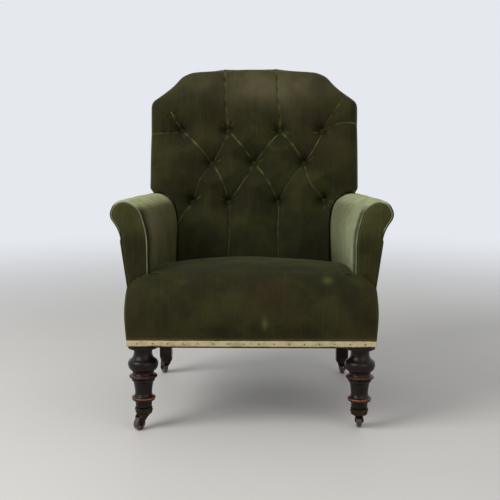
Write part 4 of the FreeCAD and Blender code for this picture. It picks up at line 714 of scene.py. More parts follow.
def seat_velvet():
    """Grid over the seat: rows follow the section, columns go across. A column's place is a share
    of the half width there, which is the whole seat in front of the arms, a little swollen at
    middle height, and the room between the arms' inner faces behind them."""
    radius = 6.0
    steps = np.linspace(-1, 1, 181)
    share = np.sin(steps * math.pi / 2) * 0.35 + steps * 0.65
    nominal = seat_profile(share * SEAT_HALF)
    y = nominal[..., 0]
    inner = arm_inner_face(y) - 0.6
    side_swell = 4.0 * np.sin(np.clip((nominal[..., 1] - SKIRT_FOOT) / 150.0, 0.0, 1.0) * math.pi)
    front_half = SEAT_HALF + side_swell
    half = front_half + (inner - front_half) * ease((y - (WING_REAR - 7.0)) / 6.5)
    x = share * (half - radius)
    profile = np.stack([seat_profile(row) for row in x])[np.arange(len(x)), np.arange(len(x))]
    way = np.gradient(profile, axis=0)
    out = unit(as_points(-way[..., 1], way[..., 0]))
    height = profile[..., 1]
    sag = 1.6 * ripple(x, profile[..., 0], 11, 260.0) * ease((height - SKIRT_FOOT - 30) / 60)
    profile = profile + out * sag[..., None]
    main = np.concatenate((x[..., None], profile), axis=-1)
    right = seat_side(main[:, 0], -1, radius)
    left = seat_side(main[:, -1], 1, radius)
    between = [main[:, column] for column in range(len(share))]
    grid = np.stack(right[::-1] + between + left, axis=1)
    run = measured(profile[:, len(share) // 2])
    cloth = as_points(grid[..., 0], run[:, None])
    # How far the seat faces up, for the painted shade on its top.
    on_top = ease((out[:, len(share) // 2, 1] - 0.7) / 0.28)[:, None]
    marks = seat_marks(grid, on_top)
    piece = make_piece("seat_velvet", grid, cloth, (0, 0, 260), marks)
    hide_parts("seat_cover", "seat_stuffing")
    dress(piece, FINISHES["velvet"])
    give_thickness(piece, COVER)


# The arms.
def arm_share(y):
    return (y - ARM_FRONT) / (POST_FRONT - ARM_FRONT)


def arm_inner_face(y):
    return ARM_INSIDE_FRONT + (ARM_INSIDE_BACK - ARM_INSIDE_FRONT) * np.minimum(arm_share(y), 1.0)


def arm_top(y):
    return ARM_HEIGHT - ARM_FALL * arm_share(y)


def arm_outer(y):
    return ARM_OUTSIDE - ARM_SLIM * arm_share(y)


def frame_side(y):
    """Outside of the seat frame at a place along it."""
    taper = np.clip((y - BLOCK_REAR) / (POST_FRONT - BLOCK_REAR), 0.0, 1.0)
    return HALF_FRONT + (HALF_BACK - HALF_FRONT) * taper


def arm_outline(y, foot, inset):
    """Control polygon (across, up) of the left arm at places along it: flat inner face, rolled top,
    and a neck under the roll, below which the outside leans in to the seat frame."""
    inner = arm_inner_face(y)
    outer = arm_outer(y)
    top = arm_top(y)
    neck_x = outer - NECK_SET_IN
    neck_z = top - NECK_DROP
    floor_z = foot - inset
    lean = (neck_x - frame_side(y)) / (neck_z - RAIL_TOP)
    line = [
        (inner, floor_z),
        (neck_x + lean * (floor_z - neck_z), floor_z),
        (neck_x, neck_z),
        (outer + 3, top - 40),
        (outer - 12, top - 6),
        (inner + 55, top + 3),
        (inner + 18, top - 22),
        (inner, top - 88),
    ]
    points = np.stack([as_points(*pair) for pair in line])
    return inset_polygon(points, inset)


def raked_rear(z):
    """How far back a piece reaches at a height: the rear face of the leaning back frame."""
    return POST_FRONT + (BACK_FRAME + math.sin(RAKE) * (z - RAIL_TOP)) / math.cos(RAKE)


def arm_marks(sign, z, depth, out, top):
    """Where an arm's velvet is worn, with dust, painted light and painted shade. The crowns are
    worn pale. The left arm's inner face, which faces the window lamp, is paler by wear and by
    painted light; painted shade darkens the right arm's inner face low down and the rounded front
    edge of both arms beside the facing, widest on the right."""
    pale = sign > 0
    crown = ease((out[..., 1] - 0.25) / 0.75) if pale else ease((out[..., 1] - 0.42) / 0.5)
    # Painted light on the inner face, with wear, mostly on the left arm.
    inner_side = ease(-out[..., 0] / 0.7) * ease((z - ARM_FOOT) / 120.0)
    front_half = 1.0 - ease((depth + 240) / 260.0) * 0.5
    wear_and_sheen = np.maximum(crown * 0.95, inner_side * 0.66 * (1.0 if pale else 0.1) * front_half)
    # Painted shade on the rounded front edge beside the facing.
    dark_reach = 18.0 if pale else 70.0
    beside = ease((0.9 - out[..., 1]) / 0.5)
    front_dark = 0.9 * (1.0 - ease((depth - ARM_FRONT - 1.5) / dark_reach)) * beside
    # Painted shade low on the right arm's inner face.
    shade = ease((top - 110 - z) / 120.0) * (0.0 if pale else 0.35)
    below_crown = ease((out[..., 1] + 0.15) / 0.6) * 0.8
    dust_and_sheen = np.maximum(inner_side, below_crown) * 0.45 if pale else below_crown
    return {"wear_and_sheen": np.clip(wear_and_sheen, 0, 1), "shade": np.maximum(shade, front_dark), "dust_and_sheen": dust_and_sheen}


def with_rear_end(grid, cloth, marks, sign):
    """An arm's grid and what belongs to it, closed at the rear: rows gather in the middle of the
    roll, just behind the raked back frame."""
    middle_in = 52.0
    middle_down = 46.0
    middle = np.array(
        (sign * (arm_outer(POST_REAR) - middle_in), 0.0, arm_top(POST_REAR) - middle_down)
    )
    last = grid[:, -1:]
    gather = np.array((0.02, 0.08, 0.25, 0.5, 0.75, 1.0))[None, :, None]
    rear_end = last + (middle - last) * gather
    rear_end[..., 1] = raked_rear(rear_end[..., 2]) + 0.8
    cloth_end = cloth[:, -1:] + gather * np.array((60.0, 0.0))
    fade = 1.0 - ease(gather[..., 0] / 0.2) * 0.8
    marks = {mark: np.concatenate((value, value[:, -1:] * fade), axis=1) for mark, value in marks.items()}
    return np.concatenate((grid, rear_end), axis=1), np.concatenate((cloth, cloth_end), axis=1), marks


def arm_cover(side, sign):
    """Grid over one arm: columns go round the section from the outside of the neck over the roll
    and down the inner face, rows go from the softened front edge to the raked rear. front gives the
    first rows' distance behind the arm's front and how far they are inset."""
    front = ((-0.8, 17.0), (-0.8, 9.0), (-0.6, 5.8), (0.7, 3.1), (2.8, 1.4), (6.0, 0.5), (9.0, 0.0))
    level = ARM_FRONT + np.array(front)[:, 0]
    inset = np.array(front)[:, 1]
    straight_run = np.arange(ARM_FRONT + 14.0, POST_FRONT + 0.1, 5.5)
    rear_run = 110.0
    behind = POST_FRONT + np.linspace(0.05, 1.0, 18) * rear_run
    y = np.concatenate((level, straight_run, behind))
    inset = np.concatenate((inset, np.zeros(len(straight_run) + len(behind))))
    section = rounded(arm_outline(y, ARM_FOOT, inset), sharp=(0, 1), straight=9, bend=10)
    section = np.roll(section, -10, axis=0)[: len(section) - 1]
    z = section[..., 1]
    reach = np.clip((y - POST_FRONT) / rear_run, 0.0, 1.0)
    to_rake = POST_FRONT + reach * (raked_rear(z) - POST_FRONT)
    depth = np.where(y > POST_FRONT, to_rake, y)
    way = np.gradient(section, axis=0)
    out = unit(as_points(way[..., 1], -way[..., 0]))
    run = measured(section)
    calm = ease((depth - ARM_FRONT) / 40.0) * ease((raked_rear(z) - depth) / 30.0)
    swell = ripple(run, depth, 23 + sign, 210.0) * 1.5 * calm
    pull = np.sin((run * 0.9 + depth * 0.35) / 26.0) * 0.5 * ease((depth - 40) / 90.0) * calm
    lift = (swell + pull)[..., None]
    section = section + out * lift
    grid = as_points(sign * section[..., 0], depth, section[..., 1])
    cloth = as_points(depth, run)
    marks = arm_marks(sign, z, depth, out, arm_top(y))
    grid, cloth, marks = with_rear_end(grid, cloth, marks, sign)
    heart = (sign * 295, 0, 500)
    piece = make_piece(f"{side}_arm_velvet", grid, cloth, heart, marks)
    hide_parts(f"{side}_inside_arm_cover", f"{side}_arm_stuffing")
    join_points(piece.data)
    dress(piece, arm_velvet)
    give_thickness(piece, COVER)


def arm_front_lines(inset, foot, count=110):
    """Inner and outer edge of an arm's front, from the foot to the top of the roll, each shared out
    into the same number of points. The two meet at the top. Below the neck the outer edge moves out
    to the arm's own side."""
    floor_steps = 8
    polygon = arm_outline(np.array([ARM_FRONT]), foot, np.array([inset]))
    outline = rounded(polygon, sharp=(0, 1), straight=floor_steps, bend=12)[floor_steps:, 0]
    highest = int(np.argmax(outline[:, 1]))
    outer = outline[: highest + 1]
    inner = np.concatenate((outline[highest:], polygon[0]))[::-1]
    neck = ARM_HEIGHT - NECK_DROP
    below_neck = 1.0 - ease((outer[:, 1] - (neck - 34.0)) / 44.0)
    outer = outer + as_points((inset - 2.5) * below_neck, 0.0)
    return even(inner, count), even(outer, count)


def arm_facing(side, sign):
    """Padded board on the front of an arm. Rows join its inner and outer edge; its face stands out
    by a rolled edge and then a slow crown, both by the distance from the edge."""
    inner, outer = arm_front_lines(FACING_MARGIN, RAIL_TOP + 0.3 + FACING_MARGIN)
    share = np.concatenate(((0.0,), (1 - np.cos(np.linspace(0, math.pi, 45))) / 2, (1.0,)))[None, :, None]
    flat = inner[:, None] * (1 - share) + outer[:, None] * share
    width = np.linalg.norm(outer - inner, axis=-1)[:, None]
    drop = np.linalg.norm(inner[-1] - (inner + outer) / 2, axis=-1)[:, None]
    edge = np.minimum(share[..., 0], 1 - share[..., 0]) * width
    edge = np.minimum(edge, drop * 1.4 + 0.01)
    stand = 4.4 * (1 - np.exp(-edge / 1.5)) + 1.8 * (1 - np.exp(-edge / 16.0))
    stand = stand + 0.35 * ripple(flat[..., 0], flat[..., 1], 5 + sign, 70.0) * ease(edge / 12)
    depth = FACING_REAR - 1.2 - stand
    depth[:, [0, -1]] = FACING_REAR
    grid = as_points(sign * flat[..., 0], depth, flat[..., 1])
    marks = {"wear_and_sheen": np.exp(-(edge / 4.0) ** 2) * 0.12 + 0.16 * ease((flat[..., 1] - 470) / 80.0)}
    name = f"{side}_facing_velvet"
    heart = ("out", (0, -1, 0))
    piece = make_piece(name, grid, flat, heart, marks, node=f"{side}_arm_facing")
    dress(piece, FINISHES["velvet"])
    give_thickness(piece, 1.5)


def swept_cord(path, radius):
    """A round cord: circles set square to a flat path in a plane of constant depth, a little
    thicker and thinner on the way."""
    sides = 10
    wander = 0.18
    way = unit(np.gradient(path, axis=0))
    side = unit(as_points(way[:, 2], 0.0, -way[:, 0]))
    depth_way = np.broadcast_to(np.array((0.0, 1.0, 0.0)), side.shape)
    turn = np.arange(sides) * math.tau / sides
    run = measured(path)
    swell = radius + wander * ripple(run, run * 0, 31, 40.0)
    ring = side[:, None] * np.cos(turn)[None, :, None] + depth_way[:, None] * np.sin(turn)[None, :, None]
    grid = path[:, None] + ring * swell[:, None, None]
    cloth = as_points(run[:, None], turn * radius)
    return grid, cloth


def arm_piping(side, sign):
    """Covered cord round a facing, from the seat up the inner edge, over the roll and down. Its
    pile is rubbed pale on the inner edge and on the roll."""
    low, _ = corners(f"{side}_arm_piping")
    radius = 1.8
    margin = FACING_MARGIN - radius - 0.2
    foot = low[2] - radius
    inner, outer = arm_front_lines(margin, foot + margin, 130)
    line = even(np.concatenate((inner, outer[::-1][1:])), 240)
    level = FACING_FRONT + radius + 0.2
    path = as_points(sign * line[:, 0], level, line[:, 1])
    grid, cloth = swept_cord(path, radius)
    outside = np.arange(len(line)) > len(line) // 2
    neck = ARM_HEIGHT - NECK_DROP
    faded = ease((neck + 8 - line[:, 1]) / 16.0) * outside
    low_inside = ease((RAIL_TOP + 150 - line[:, 1]) / 120.0) * ~outside
    rubbed = 0.42 - 0.36 * faded - 0.14 * low_inside
    rubbed = rubbed * (0.85 + 0.15 * ripple(line[:, 0], line[:, 1], 67 + sign, 60.0))
    marks = {"wear_and_sheen": rubbed[:, None], "shade": faded[:, None] * 0.5}
    rows, sides = grid.shape[:2]
    ring = list(range(sides))
    caps = (ring[::-1], [(rows - 1) * sides + step for step in ring])
    centres = np.repeat(path[:-1], sides, axis=0)
    name = f"{side}_piping_cord"
    node = f"{side}_arm_piping"
    piece = make_piece(name, grid, cloth, centres, marks, True, caps, node=node)
    dress(piece, arm_velvet)


def outside_arm(side, sign):
    """Stretched cloth over the outside of an arm, from under the rail to the hollow below the roll.
    Rows go up, columns go back. It curves in to the frame towards its front and its top, and all
    edges turn in."""
    thickness = 5.5
    rows = np.concatenate(((-1.0,), np.linspace(0.0, 1.0, 56), (2.0,)))[:, None]
    columns = np.concatenate(((-1.0,), np.linspace(0.0, 1.0, 84), (2.0,)))[None, :]
    up = np.clip(rows, 0.0, 1.0)
    back = np.clip(columns, 0.0, 1.0)
    guess = ARM_FRONT + 0.6 + back * (POST_REAR + 30 - ARM_FRONT)
    neck_z = arm_top(guess) - NECK_DROP
    top_z = neck_z - 22
    z = SKIRT_FOOT + up * (top_z - SKIRT_FOOT)
    rear = np.maximum(raked_rear(z) - 0.6, POST_REAR - 0.6)
    rear = np.where(z < RAIL_TOP, POST_REAR - 0.6, rear)
    y = ARM_FRONT + 0.6 + back * (rear - ARM_FRONT - 0.6)
    side_x = frame_side(y) + 0.3
    lean = (arm_outer(y) - NECK_SET_IN - frame_side(y)) / (neck_z - RAIL_TOP)
    x = side_x + lean * np.maximum(z - RAIL_TOP, 0.0) + thickness
    from_edge = np.minimum(np.minimum(up, 1 - up) * 260, np.minimum(back, 1 - back) * 500)
    hollow = 1.2 * ease(from_edge / 90) + 0.5 * ripple(y, z, 41 + sign, 180.0) * ease(from_edge / 50)
    roll = 1.6 * np.exp(-from_edge / 1.6)
    front_curve = 3.8 * (1.0 - ease((y - ARM_FRONT) / 60.0))
    top_curve = 3.8 * (1.0 - ease((top_z - z) / 80.0))
    past_edge = (rows < 0) | (rows > 1) | (columns < 0) | (columns > 1)
    turned_in = np.maximum(front_curve, top_curve) + 3.6 * past_edge
    x = x - hollow - roll - turned_in
    grid = as_points(sign * x, y, z)
    cloth = as_points(y, z)
    marks = {"wear_and_sheen": 0.2 * np.exp(-from_edge / 6.0)}
    name = f"{side}_outside_velvet"
    heart = ("out", (sign, 0, 0))
    node = f"{side}_outside_arm_panel"
    piece = make_piece(name, grid, cloth, heart, marks, node=node)
    dress(piece, FINISHES["velvet"])
    give_thickness(piece, 1.5)


# The back.
BUTTONS = {
    "a1": (-218.0, 448.0),
    "a2": (-79.0, 448.0),
    "a3": (79.0, 448.0),
    "a4": (204.0, 448.0),
    "b1": (-126.0, 349.0),
    "b2": (0.0, 349.0),
    "b3": (150.0, 349.0),
    "c1": (-183.0, 232.0),
    "c2": (-75.0, 232.0),
    "c3": (72.0, 232.0),
    "c4": (210.0, 236.0),
}
# Pleats between buttons: the two ends, how strongly the fold shows in its depth and its painted
# highlight, and how far it bows sideways.
PLEATS = (
    ("a1", "b1", 0.9, 0.0),
    ("a2", "b1", 0.45, 6.0),
    ("a2", "b2", 0.8, 0.0),
    ("a3", "b2", 0.8, 0.0),
    ("a3", "b3", 0.9, 0.0),
    ("a4", "b3", 0.7, 4.0),
    ("b1", "c1", 0.2, -8.0),
    ("b1", "c2", 0.7, 4.0),
    ("b2", "c2", 0.5, 5.0),
    ("b2", "c3", 0.85, 3.0),
    ("b3", "c3", 0.35, -6.0),
    ("b3", "c4", 0.9, -16.0),
)
# Pleats that run off the buttoned field: the button, where they end, how strongly they show in
# depth and painted highlight, how far they bow.
EDGE_PLEATS = (
    ("a1", (-330.0, 436.0), 0.5, 5.0),
    ("a1", (-246.0, 496.0), 0.8, 0.0),
    ("a2", (-88.0, 668.0), 0.9, 3.0),
    ("a3", (66.0, 668.0), 1.0, 2.0),
    ("a4", (285.0, 572.0), 0.75, -3.0),
    ("a4", (330.0, 462.0), 0.7, 9.0),
    ("c1", (-236.0, 130.0), 0.6, -6.0),
    ("c2", (-78.0, 20.0), 0.55, 3.0),
    ("c3", (72.0, 20.0), 0.6, -3.0),
    ("c4", (262.0, 150.0), 0.3, 0.0),
    ("c4", (300.0, 262.0), 0.45, -4.0),
)


# Control points (across, up) of the shoulder, from the end of the straight side to the flat top.
SHOULDER = [
    (BACK_HALF, BACK_LENGTH - 100),
    (BACK_HALF - 32, BACK_LENGTH - 78),
    (BACK_HALF - 68, BACK_LENGTH - 49),
    (BACK_HALF - 93, BACK_LENGTH - 20),
    (BACK_HALF - 122, BACK_LENGTH - 7),
    (BACK_HALF - 150, BACK_LENGTH - 4),
]


def back_edge():
    """Right half of the back's outline (across, up), from the foot to the middle of the top. Below
    the arms' tops it follows the room that the arms leave, and above it the full width."""
    clear = 1.2
    outline = [
        (ARM_INSIDE_BACK - clear, 40.0),
        (ARM_INSIDE_BACK - clear, 168.0),
        (ARM_INSIDE_BACK + 14.0, 233.0),
        (ARM_INSIDE_BACK + 53.0, 262.0),
        (BACK_HALF - 2.0, 264.0),
        (BACK_HALF, 300.0),
    ] + SHOULDER
    return np.array(outline)


def whole_outline():
    """The back's outline as if the arms weren't there, as a line of points (across, up)."""
    half = [(BACK_HALF, -40.0)] + SHOULDER
    left = [(-x, up) for x, up in reversed(half)]
    points = np.array(half + [(0.0, BACK_LENGTH + 5)] + left)
    return rounded(points, closed=False, straight=6, bend=6, share=0.4)


def plump_height(edge):
    """How far the stuffed back stands out at a distance from its edge, before it is buttoned."""
    known = np.array((0.0, 1.0, 4.0, 9.0, 16.0, 26.0, 38.0, 60.0, 92.0, 400.0))
    height = np.array((36.0, 47.0, 62.0, 74.0, 82.5, 89.5, 94.0, 98.0, BACK_PADDING, BACK_PADDING))
    return np.interp(edge, known, height)


def fold_line(start, end, bow, count=15):
    """A fold between two places, bowed sideways by a half sine."""
    start = np.array(start)
    end = np.array(end)
    share = np.linspace(0.0, 1.0, count)[:, None]
    way = (end - start) / np.linalg.norm(end - start)
    side = np.array((-way[1], way[0]))
    return start + (end - start) * share + side * bow * np.sin(share * math.pi)


def fold_distance(points, line):
    """Distance to a fold, share of the way along it, and the side of it."""
    start = line[:-1]
    side = line[1:] - line[:-1]
    square = (side ** 2).sum(axis=-1)
    count = len(start)
    best = np.full(points.shape[:-1], 1e9)
    share, hand = np.zeros((2,) + points.shape[:-1])
    for index in range(count):
        offset = points - start[index]
        part = np.clip((offset * side[index]).sum(axis=-1) / square[index], 0.0, 1.0)
        gap = offset - part[..., None] * side[index]
        distance = np.sqrt((gap ** 2).sum(axis=-1))
        cross = side[index][0] * offset[..., 1] - side[index][1] * offset[..., 0]
        nearer = distance < best
        best = np.where(nearer, distance, best)
        share = np.where(nearer, (index + part) / count, share)
        hand = np.where(nearer, np.sign(cross), hand)
    return best, share, hand


def span(start, end):
    """Straight distance between two places."""
    return math.hypot(end[0] - start[0], end[1] - start[1])


def tufting(places):
    """Depth of the buttoning below the plump surface, and where painted highlight and painted shade go
    on the cloth. Each button is a pointed dimple with small creases round it. Each fold is a
    valley, deepest at its buttons, with a painted dark bottom and painted lit lips, which differ in
    strength and fade unevenly."""
    depth, light, dark, crumple, valley = np.zeros((5,) + places.shape[:-1])
    patchy = ripple(places[..., 0], places[..., 1], 53, 46.0)
    # Each button pulls a pointed dimple into a wide hollow, darkened by painted shade; spokes are the
    # creases round it, with painted highlights.
    for spot in BUTTONS.values():
        offset = places - np.array(spot)
        radius = np.linalg.norm(offset, axis=-1)
        turn = np.arctan2(offset[..., 1], offset[..., 0])
        dip = 34.0 * np.exp(-((radius / 13.5) ** 1.4)) + 25.0 * np.exp(-((radius / 60.0) ** 2))
        depth = np.maximum(depth, dip)
        dark = np.maximum(dark, np.exp(-((radius / 19.0) ** 2)))
        spokes = 0.6 * np.sin(5.0 * turn + spot[0]) + 0.5 * np.sin(8.0 * turn + spot[0] * 0.7)
        around = np.exp(-(((radius - 19.0) / 9.0) ** 2))
        crumple = crumple + spokes * around * 0.8
        light = np.maximum(light, ease((spokes - 0.6) / 0.4) * around * 0.2 * (1.0 + patchy))
    # A fold is a sharp cut in a broad valley, with painted shade along its bottom and a painted
    # highlight on its lip. One that runs to the edge fades out on the way.
    folds = [(BUTTONS[a], BUTTONS[b], lit, bow, False) for a, b, lit, bow in PLEATS]
    folds += [(BUTTONS[a], end, lit, bow, True) for a, end, lit, bow in EDGE_PLEATS]
    for start, end, lit, bow, to_edge in folds:
        distance, share, hand = fold_distance(places, fold_line(start, end, bow))
        if to_edge:
            strength = 1.0 - 0.72 * ease(share * 1.1)
            strength = strength * (1.0 - ease((share - 0.9) / 0.1) * (0.5 if abs(end[0]) < 100 else 0.9))
            if end[1] > BACK_LENGTH:
                strength = 0.85 - 0.45 * ease((share - 0.86) / 0.14)
        else:
            strength = 0.5 + 0.5 * (2 * share - 1) ** 2
        cut = 6.5 * np.exp(-distance / 2.8) + 11.0 * np.exp(-((distance / 29.0) ** 2))
        valley = np.maximum(valley, cut * strength * (0.55 + 0.45 * lit))
        weak_side = 0.8 if end[1] > BACK_LENGTH else 0.15
        lip = np.exp(-(((distance - 1.7) / 1.4) ** 2)) * np.where(hand > 0, 1.0, weak_side)
        near_button = np.exp(-((share * span(start, end) - 17.0) / 9.0) ** 2)
        lip = lip * np.clip(0.66 + 0.7 * patchy + 0.5 * near_button, 0.15, 1.25)
        fade = ease(share / 0.06) * (1.0 - ease((share - 0.93) / 0.07) * (0.0 if to_edge else 1.0))
        light = np.maximum(light, lip * lit * fade)
        line_dark = np.exp(-((distance / 2.0) ** 2)) * 0.9 + np.exp(-((distance / 11.0) ** 2)) * 0.3
        dark = np.maximum(dark, line_dark * strength)
    return depth + crumple + valley * (1.0 - depth / 80.0), light, dark


def back_patch():
    """The front of the buttoned back, a four-sided patch stretched inside the outline: rows join
    the two sides, and the top row follows the crest. Its height comes from the distance to the edge,
    less the buttoning along the surface's own direction."""
    edge_line = even(rounded(back_edge(), closed=False, straight=6, bend=8), 320)
    columns = 310
    share = np.linspace(0, 1, columns)
    spread = 0.5 - 0.5 * np.cos(share * math.pi)
    share = share * 0.72 + spread * 0.28
    across = edge_line[:, :1] * (2 * share - 1)[None, :]
    along = np.repeat(edge_line[:, 1:], columns, axis=1)
    rise = np.linspace(0, 1, len(edge_line)) ** 6
    crest = 7.0 * (1 - (2 * share - 1) ** 2)
    along = along + rise[:, None] * crest[None, :]
    flat = as_points(across, along)
    edge = distance_to(flat, whole_outline())
    proud = plump_height(edge)
    proud = proud + 1.6 * ripple(across, along, 77, 240.0) * ease(edge / 60)
    surface = raked(across, along, proud)
    up_way = np.gradient(surface, axis=0)
    across_way = np.gradient(surface, axis=1)
    out = unit(np.cross(across_way, up_way))
    out = np.where(out[..., 1:2] > 0, -out, out)
    depth, light, dark = tufting(flat)
    calm = 0.25 + 0.75 * ease(edge / 42.0)
    surface = surface - out * (depth * calm)[..., None]
    surface[0, :, 2] = BACK_FOOT_Z
    surface[..., 2] = np.maximum(surface[..., 2], BACK_FOOT_Z)
    return surface, flat, edge, light, dark


def patch_rim(rows, columns):
    """Grid places along the patch's left side, its top and down its right side."""
    left = [(row, 0) for row in range(rows)]
    top = [(rows - 1, column) for column in range(1, columns - 1)]
    right = [(row, columns - 1) for row in range(rows - 1, -1, -1)]
    chain = np.array(left + top + right)
    return chain[:, 0], chain[:, 1]


def back_marks(flat, edge, light, dark, rim_place, walls):
    """Marks on the back, on the patch and then on its walls, on which the patch's own marks fade out:
    painted highlights on the folds' lips, along the edge and on the upper roll, painted shade in the
    folds, the dimples and the lower part, and walls a little paler all over."""
    fade = np.linspace(1, 0.2, walls)[:, None]
    # Painted highlight on the upper roll, strongest at the top middle.
    bright_patch = 0.5 * np.exp(-((flat[..., 0] - 45) / 120) ** 2 - ((flat[..., 1] - 570) / 52) ** 2)
    # Painted sheen highlight along the edge.
    rim = 0.5 * np.exp(-(edge / 5.0) ** 2)
    # Painted shade on the lower back.
    lower = ease((300 - flat[..., 1]) / 260) * 0.4
    wall_light = light[rim_place] * fade
    wall_dark = dark[rim_place] * fade
    parts = {
        "wear_and_sheen": (light * 1.1 + rim, wall_light + 0.3),
        "shade": (dark * 0.8 + lower, wall_dark),
        "dust_and_sheen": (bright_patch + 0.2 * ease((flat[..., 1] - 500) / 90), np.full_like(wall_dark, 0.1)),
    }
    return {
        mark: np.clip(np.concatenate((front.ravel(), wall.ravel())), 0, 1)
        for mark, (front, wall) in parts.items()
    }


def back_cover():
    """The buttoned back as one closed skin: the patch, walls that carry on from its sides and top
    to the rear of the frame, and two flat closing faces at the rear and the foot."""
    surface, flat, edge, light, dark = back_patch()
    rows, columns = surface.shape[:2]
    rim_place = patch_rim(rows, columns)
    start = surface[rim_place]
    place = flat[rim_place]
    rear = raked(place[:, 0], place[:, 1], -BACK_FRAME + 0.4)
    steps = np.linspace(0, 1, 13)[1:, None, None]
    wall = start[None] * (1 - steps) + rear[None] * steps
    middle = np.array((0.0, 330.0))
    outward = unit(place - middle)
    up_slope = outward[:, 1]
    lean_out = as_points(outward[:, 0], math.sin(RAKE) * up_slope, math.cos(RAKE) * up_slope)
    free = ease((place[:, 1] - 285) / 40)[None, :, None]
    bulge = np.sin(steps * math.pi) * 1.2 * free
    wall = wall + lean_out[None] * bulge
    wall[..., 2] = np.maximum(wall[..., 2], BACK_FOOT_Z)
    points = np.concatenate((surface.reshape(-1, 3), wall.reshape(-1, 3)))
    index = np.arange(rows * columns).reshape(rows, columns)
    chain = index[rim_place]
    added = rows * columns + np.arange(wall.shape[0] * len(chain)).reshape(wall.shape[:2])
    rings = np.concatenate((chain[None], added))
    front_faces = grid_faces(rows, columns)
    side_faces = np.stack((rings[:-1, :-1], rings[1:, :-1], rings[1:, 1:], rings[:-1, 1:]), axis=-1)
    side_faces = side_faces.reshape(-1, 4)
    bottom = index[0].tolist() + rings[1:, -1].tolist() + rings[:0:-1, 0].tolist()
    faces = front_faces.tolist() + side_faces.tolist() + [rings[-1].tolist(), bottom]
    wall_up = place[None, :, 1] + steps[..., 0] * 90
    wall_cloth = as_points(place[None, :, 0], wall_up)
    cloth = np.concatenate((flat.reshape(-1, 2), wall_cloth.reshape(-1, 2)))
    marks = back_marks(flat, edge, light, dark, rim_place, len(wall))
    mesh = make_mesh("buttoned_back_velvet", points, faces, cloth, marks)
    piece = add_object("buttoned_back_velvet", mesh)
    join_points(mesh, turn=True)
    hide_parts("inside_back_cover", "back_stuffing")
    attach(piece, "chair")
    dress(piece, FINISHES["velvet"])


def covered_buttons():
    """Velvet-covered buttons: a domed cap of rings, a little wider than high, on each dimple's bed."""
    rings = 12
    sides = 28
    rise = np.linspace(0, math.pi / 2, rings)
    radius = BUTTON_RADIUS * np.concatenate(((0.0, 0.86), np.cos(rise) ** 0.75))
    height = np.concatenate(((0.0, 0.0), 1.2 + 5.2 * np.sin(rise) ** 0.9))
    radius[-1] = 0.0
    turn = np.arange(sides) * math.tau / sides
    points, faces, cloth, wear_and_sheen = [], [], [], []
    for number, (across, along) in enumerate(BUTTONS.values()):
        ring_x = across + radius[:, None] * np.cos(turn)[None, :]
        ring_up = along + radius[:, None] * np.sin(turn)[None, :]
        side_tilt = 0.05 * (ring_x - across) * math.sin(number * 1.7)
        tilt = side_tilt + 0.05 * (ring_up - along) * math.cos(number * 2.3)
        proud = BUTTON_PROUD + height[:, None] + tilt
        grid = raked(ring_x, ring_up, proud)
        base = number * grid.shape[0] * sides
        faces.append(grid_faces(grid.shape[0], sides, True) + base)
        points.append(grid.reshape(-1, 3))
        cloth.append(as_points(ring_x, ring_up).reshape(-1, 2))
        wear_and_sheen.append(np.broadcast_to(0.08 + 0.12 * (radius[:, None] > 5.0), (len(radius), sides)).ravel())
    # The buttons are paler at the rim and darkened all over by painted shade.
    marks = {"wear_and_sheen": np.concatenate(wear_and_sheen), "shade": np.full(sum(len(part) for part in points), 0.3)}
    points, faces, cloth = (np.concatenate(parts) for parts in (points, faces, cloth))
    mesh = make_mesh("covered_buttons", points, faces.tolist(), cloth, marks)
    join_points(mesh, turn=True)
    piece = add_object("covered_buttons", mesh)
    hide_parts("back_buttons")
    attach(piece, "chair")
    dress(piece, FINISHES["velvet"])


def outside_back():
    """Stretched cloth behind the back: upright behind the seat, then up the rake to the shouldered
    top, with its edges turned in. Rows join the two sides; columns go across."""
    half = np.array([
        (HALF_BACK + 5.2, -78.0),
        (HALF_BACK + 5.2, 60.0),
        (BACK_HALF - 2.2, 150.0),
    ] + [(across - 2.2, along - 2.5) for across, along in SHOULDER])
    edge_line = even(rounded(half, closed=False, straight=5, bend=6), 96)
    share = np.concatenate(((0.0,), np.linspace(0, 1, 64), (1.0,)))
    across = edge_line[:, :1] * (2 * share - 1)[None, :]
    rise = np.linspace(0, 1, len(edge_line)) ** 6
    along = edge_line[:, 1:] + rise[:, None] * 6.0 * (1 - (2 * share - 1) ** 2)[None, :]
    from_edge = np.minimum((BACK_HALF - np.abs(across)), BACK_LENGTH - along)
    hollow = 1.0 * ease(from_edge / 80) + 0.5 * ripple(across, along, 91, 260.0) * ease(from_edge / 50)
    roll = 1.3 * np.exp(-np.maximum(from_edge - 2.5, 0.0) / 1.5)
    proud = -BACK_FRAME - 3.0 + hollow + roll
    grid = raked(across, along, proud)
    upright = POST_REAR + 3.0 - hollow - roll
    grid[..., 1] = np.maximum(grid[..., 1], upright)
    grid[:, [0, -1], 1] -= 1.6
    grid[..., 2] = np.maximum(grid[..., 2], SKIRT_FOOT)
    cloth = as_points(across, along)
    marks = {"wear_and_sheen": 0.2 * np.exp(-np.maximum(from_edge, 0.0) / 8.0)}
    heart = ("out", (0, 1, 0))
    node = "outside_back_panel"
    piece = make_piece("outside_back_velvet", grid, cloth, heart, marks, node=node)
    dress(piece, FINISHES["velvet"])
    give_thickness(piece, 1.2)


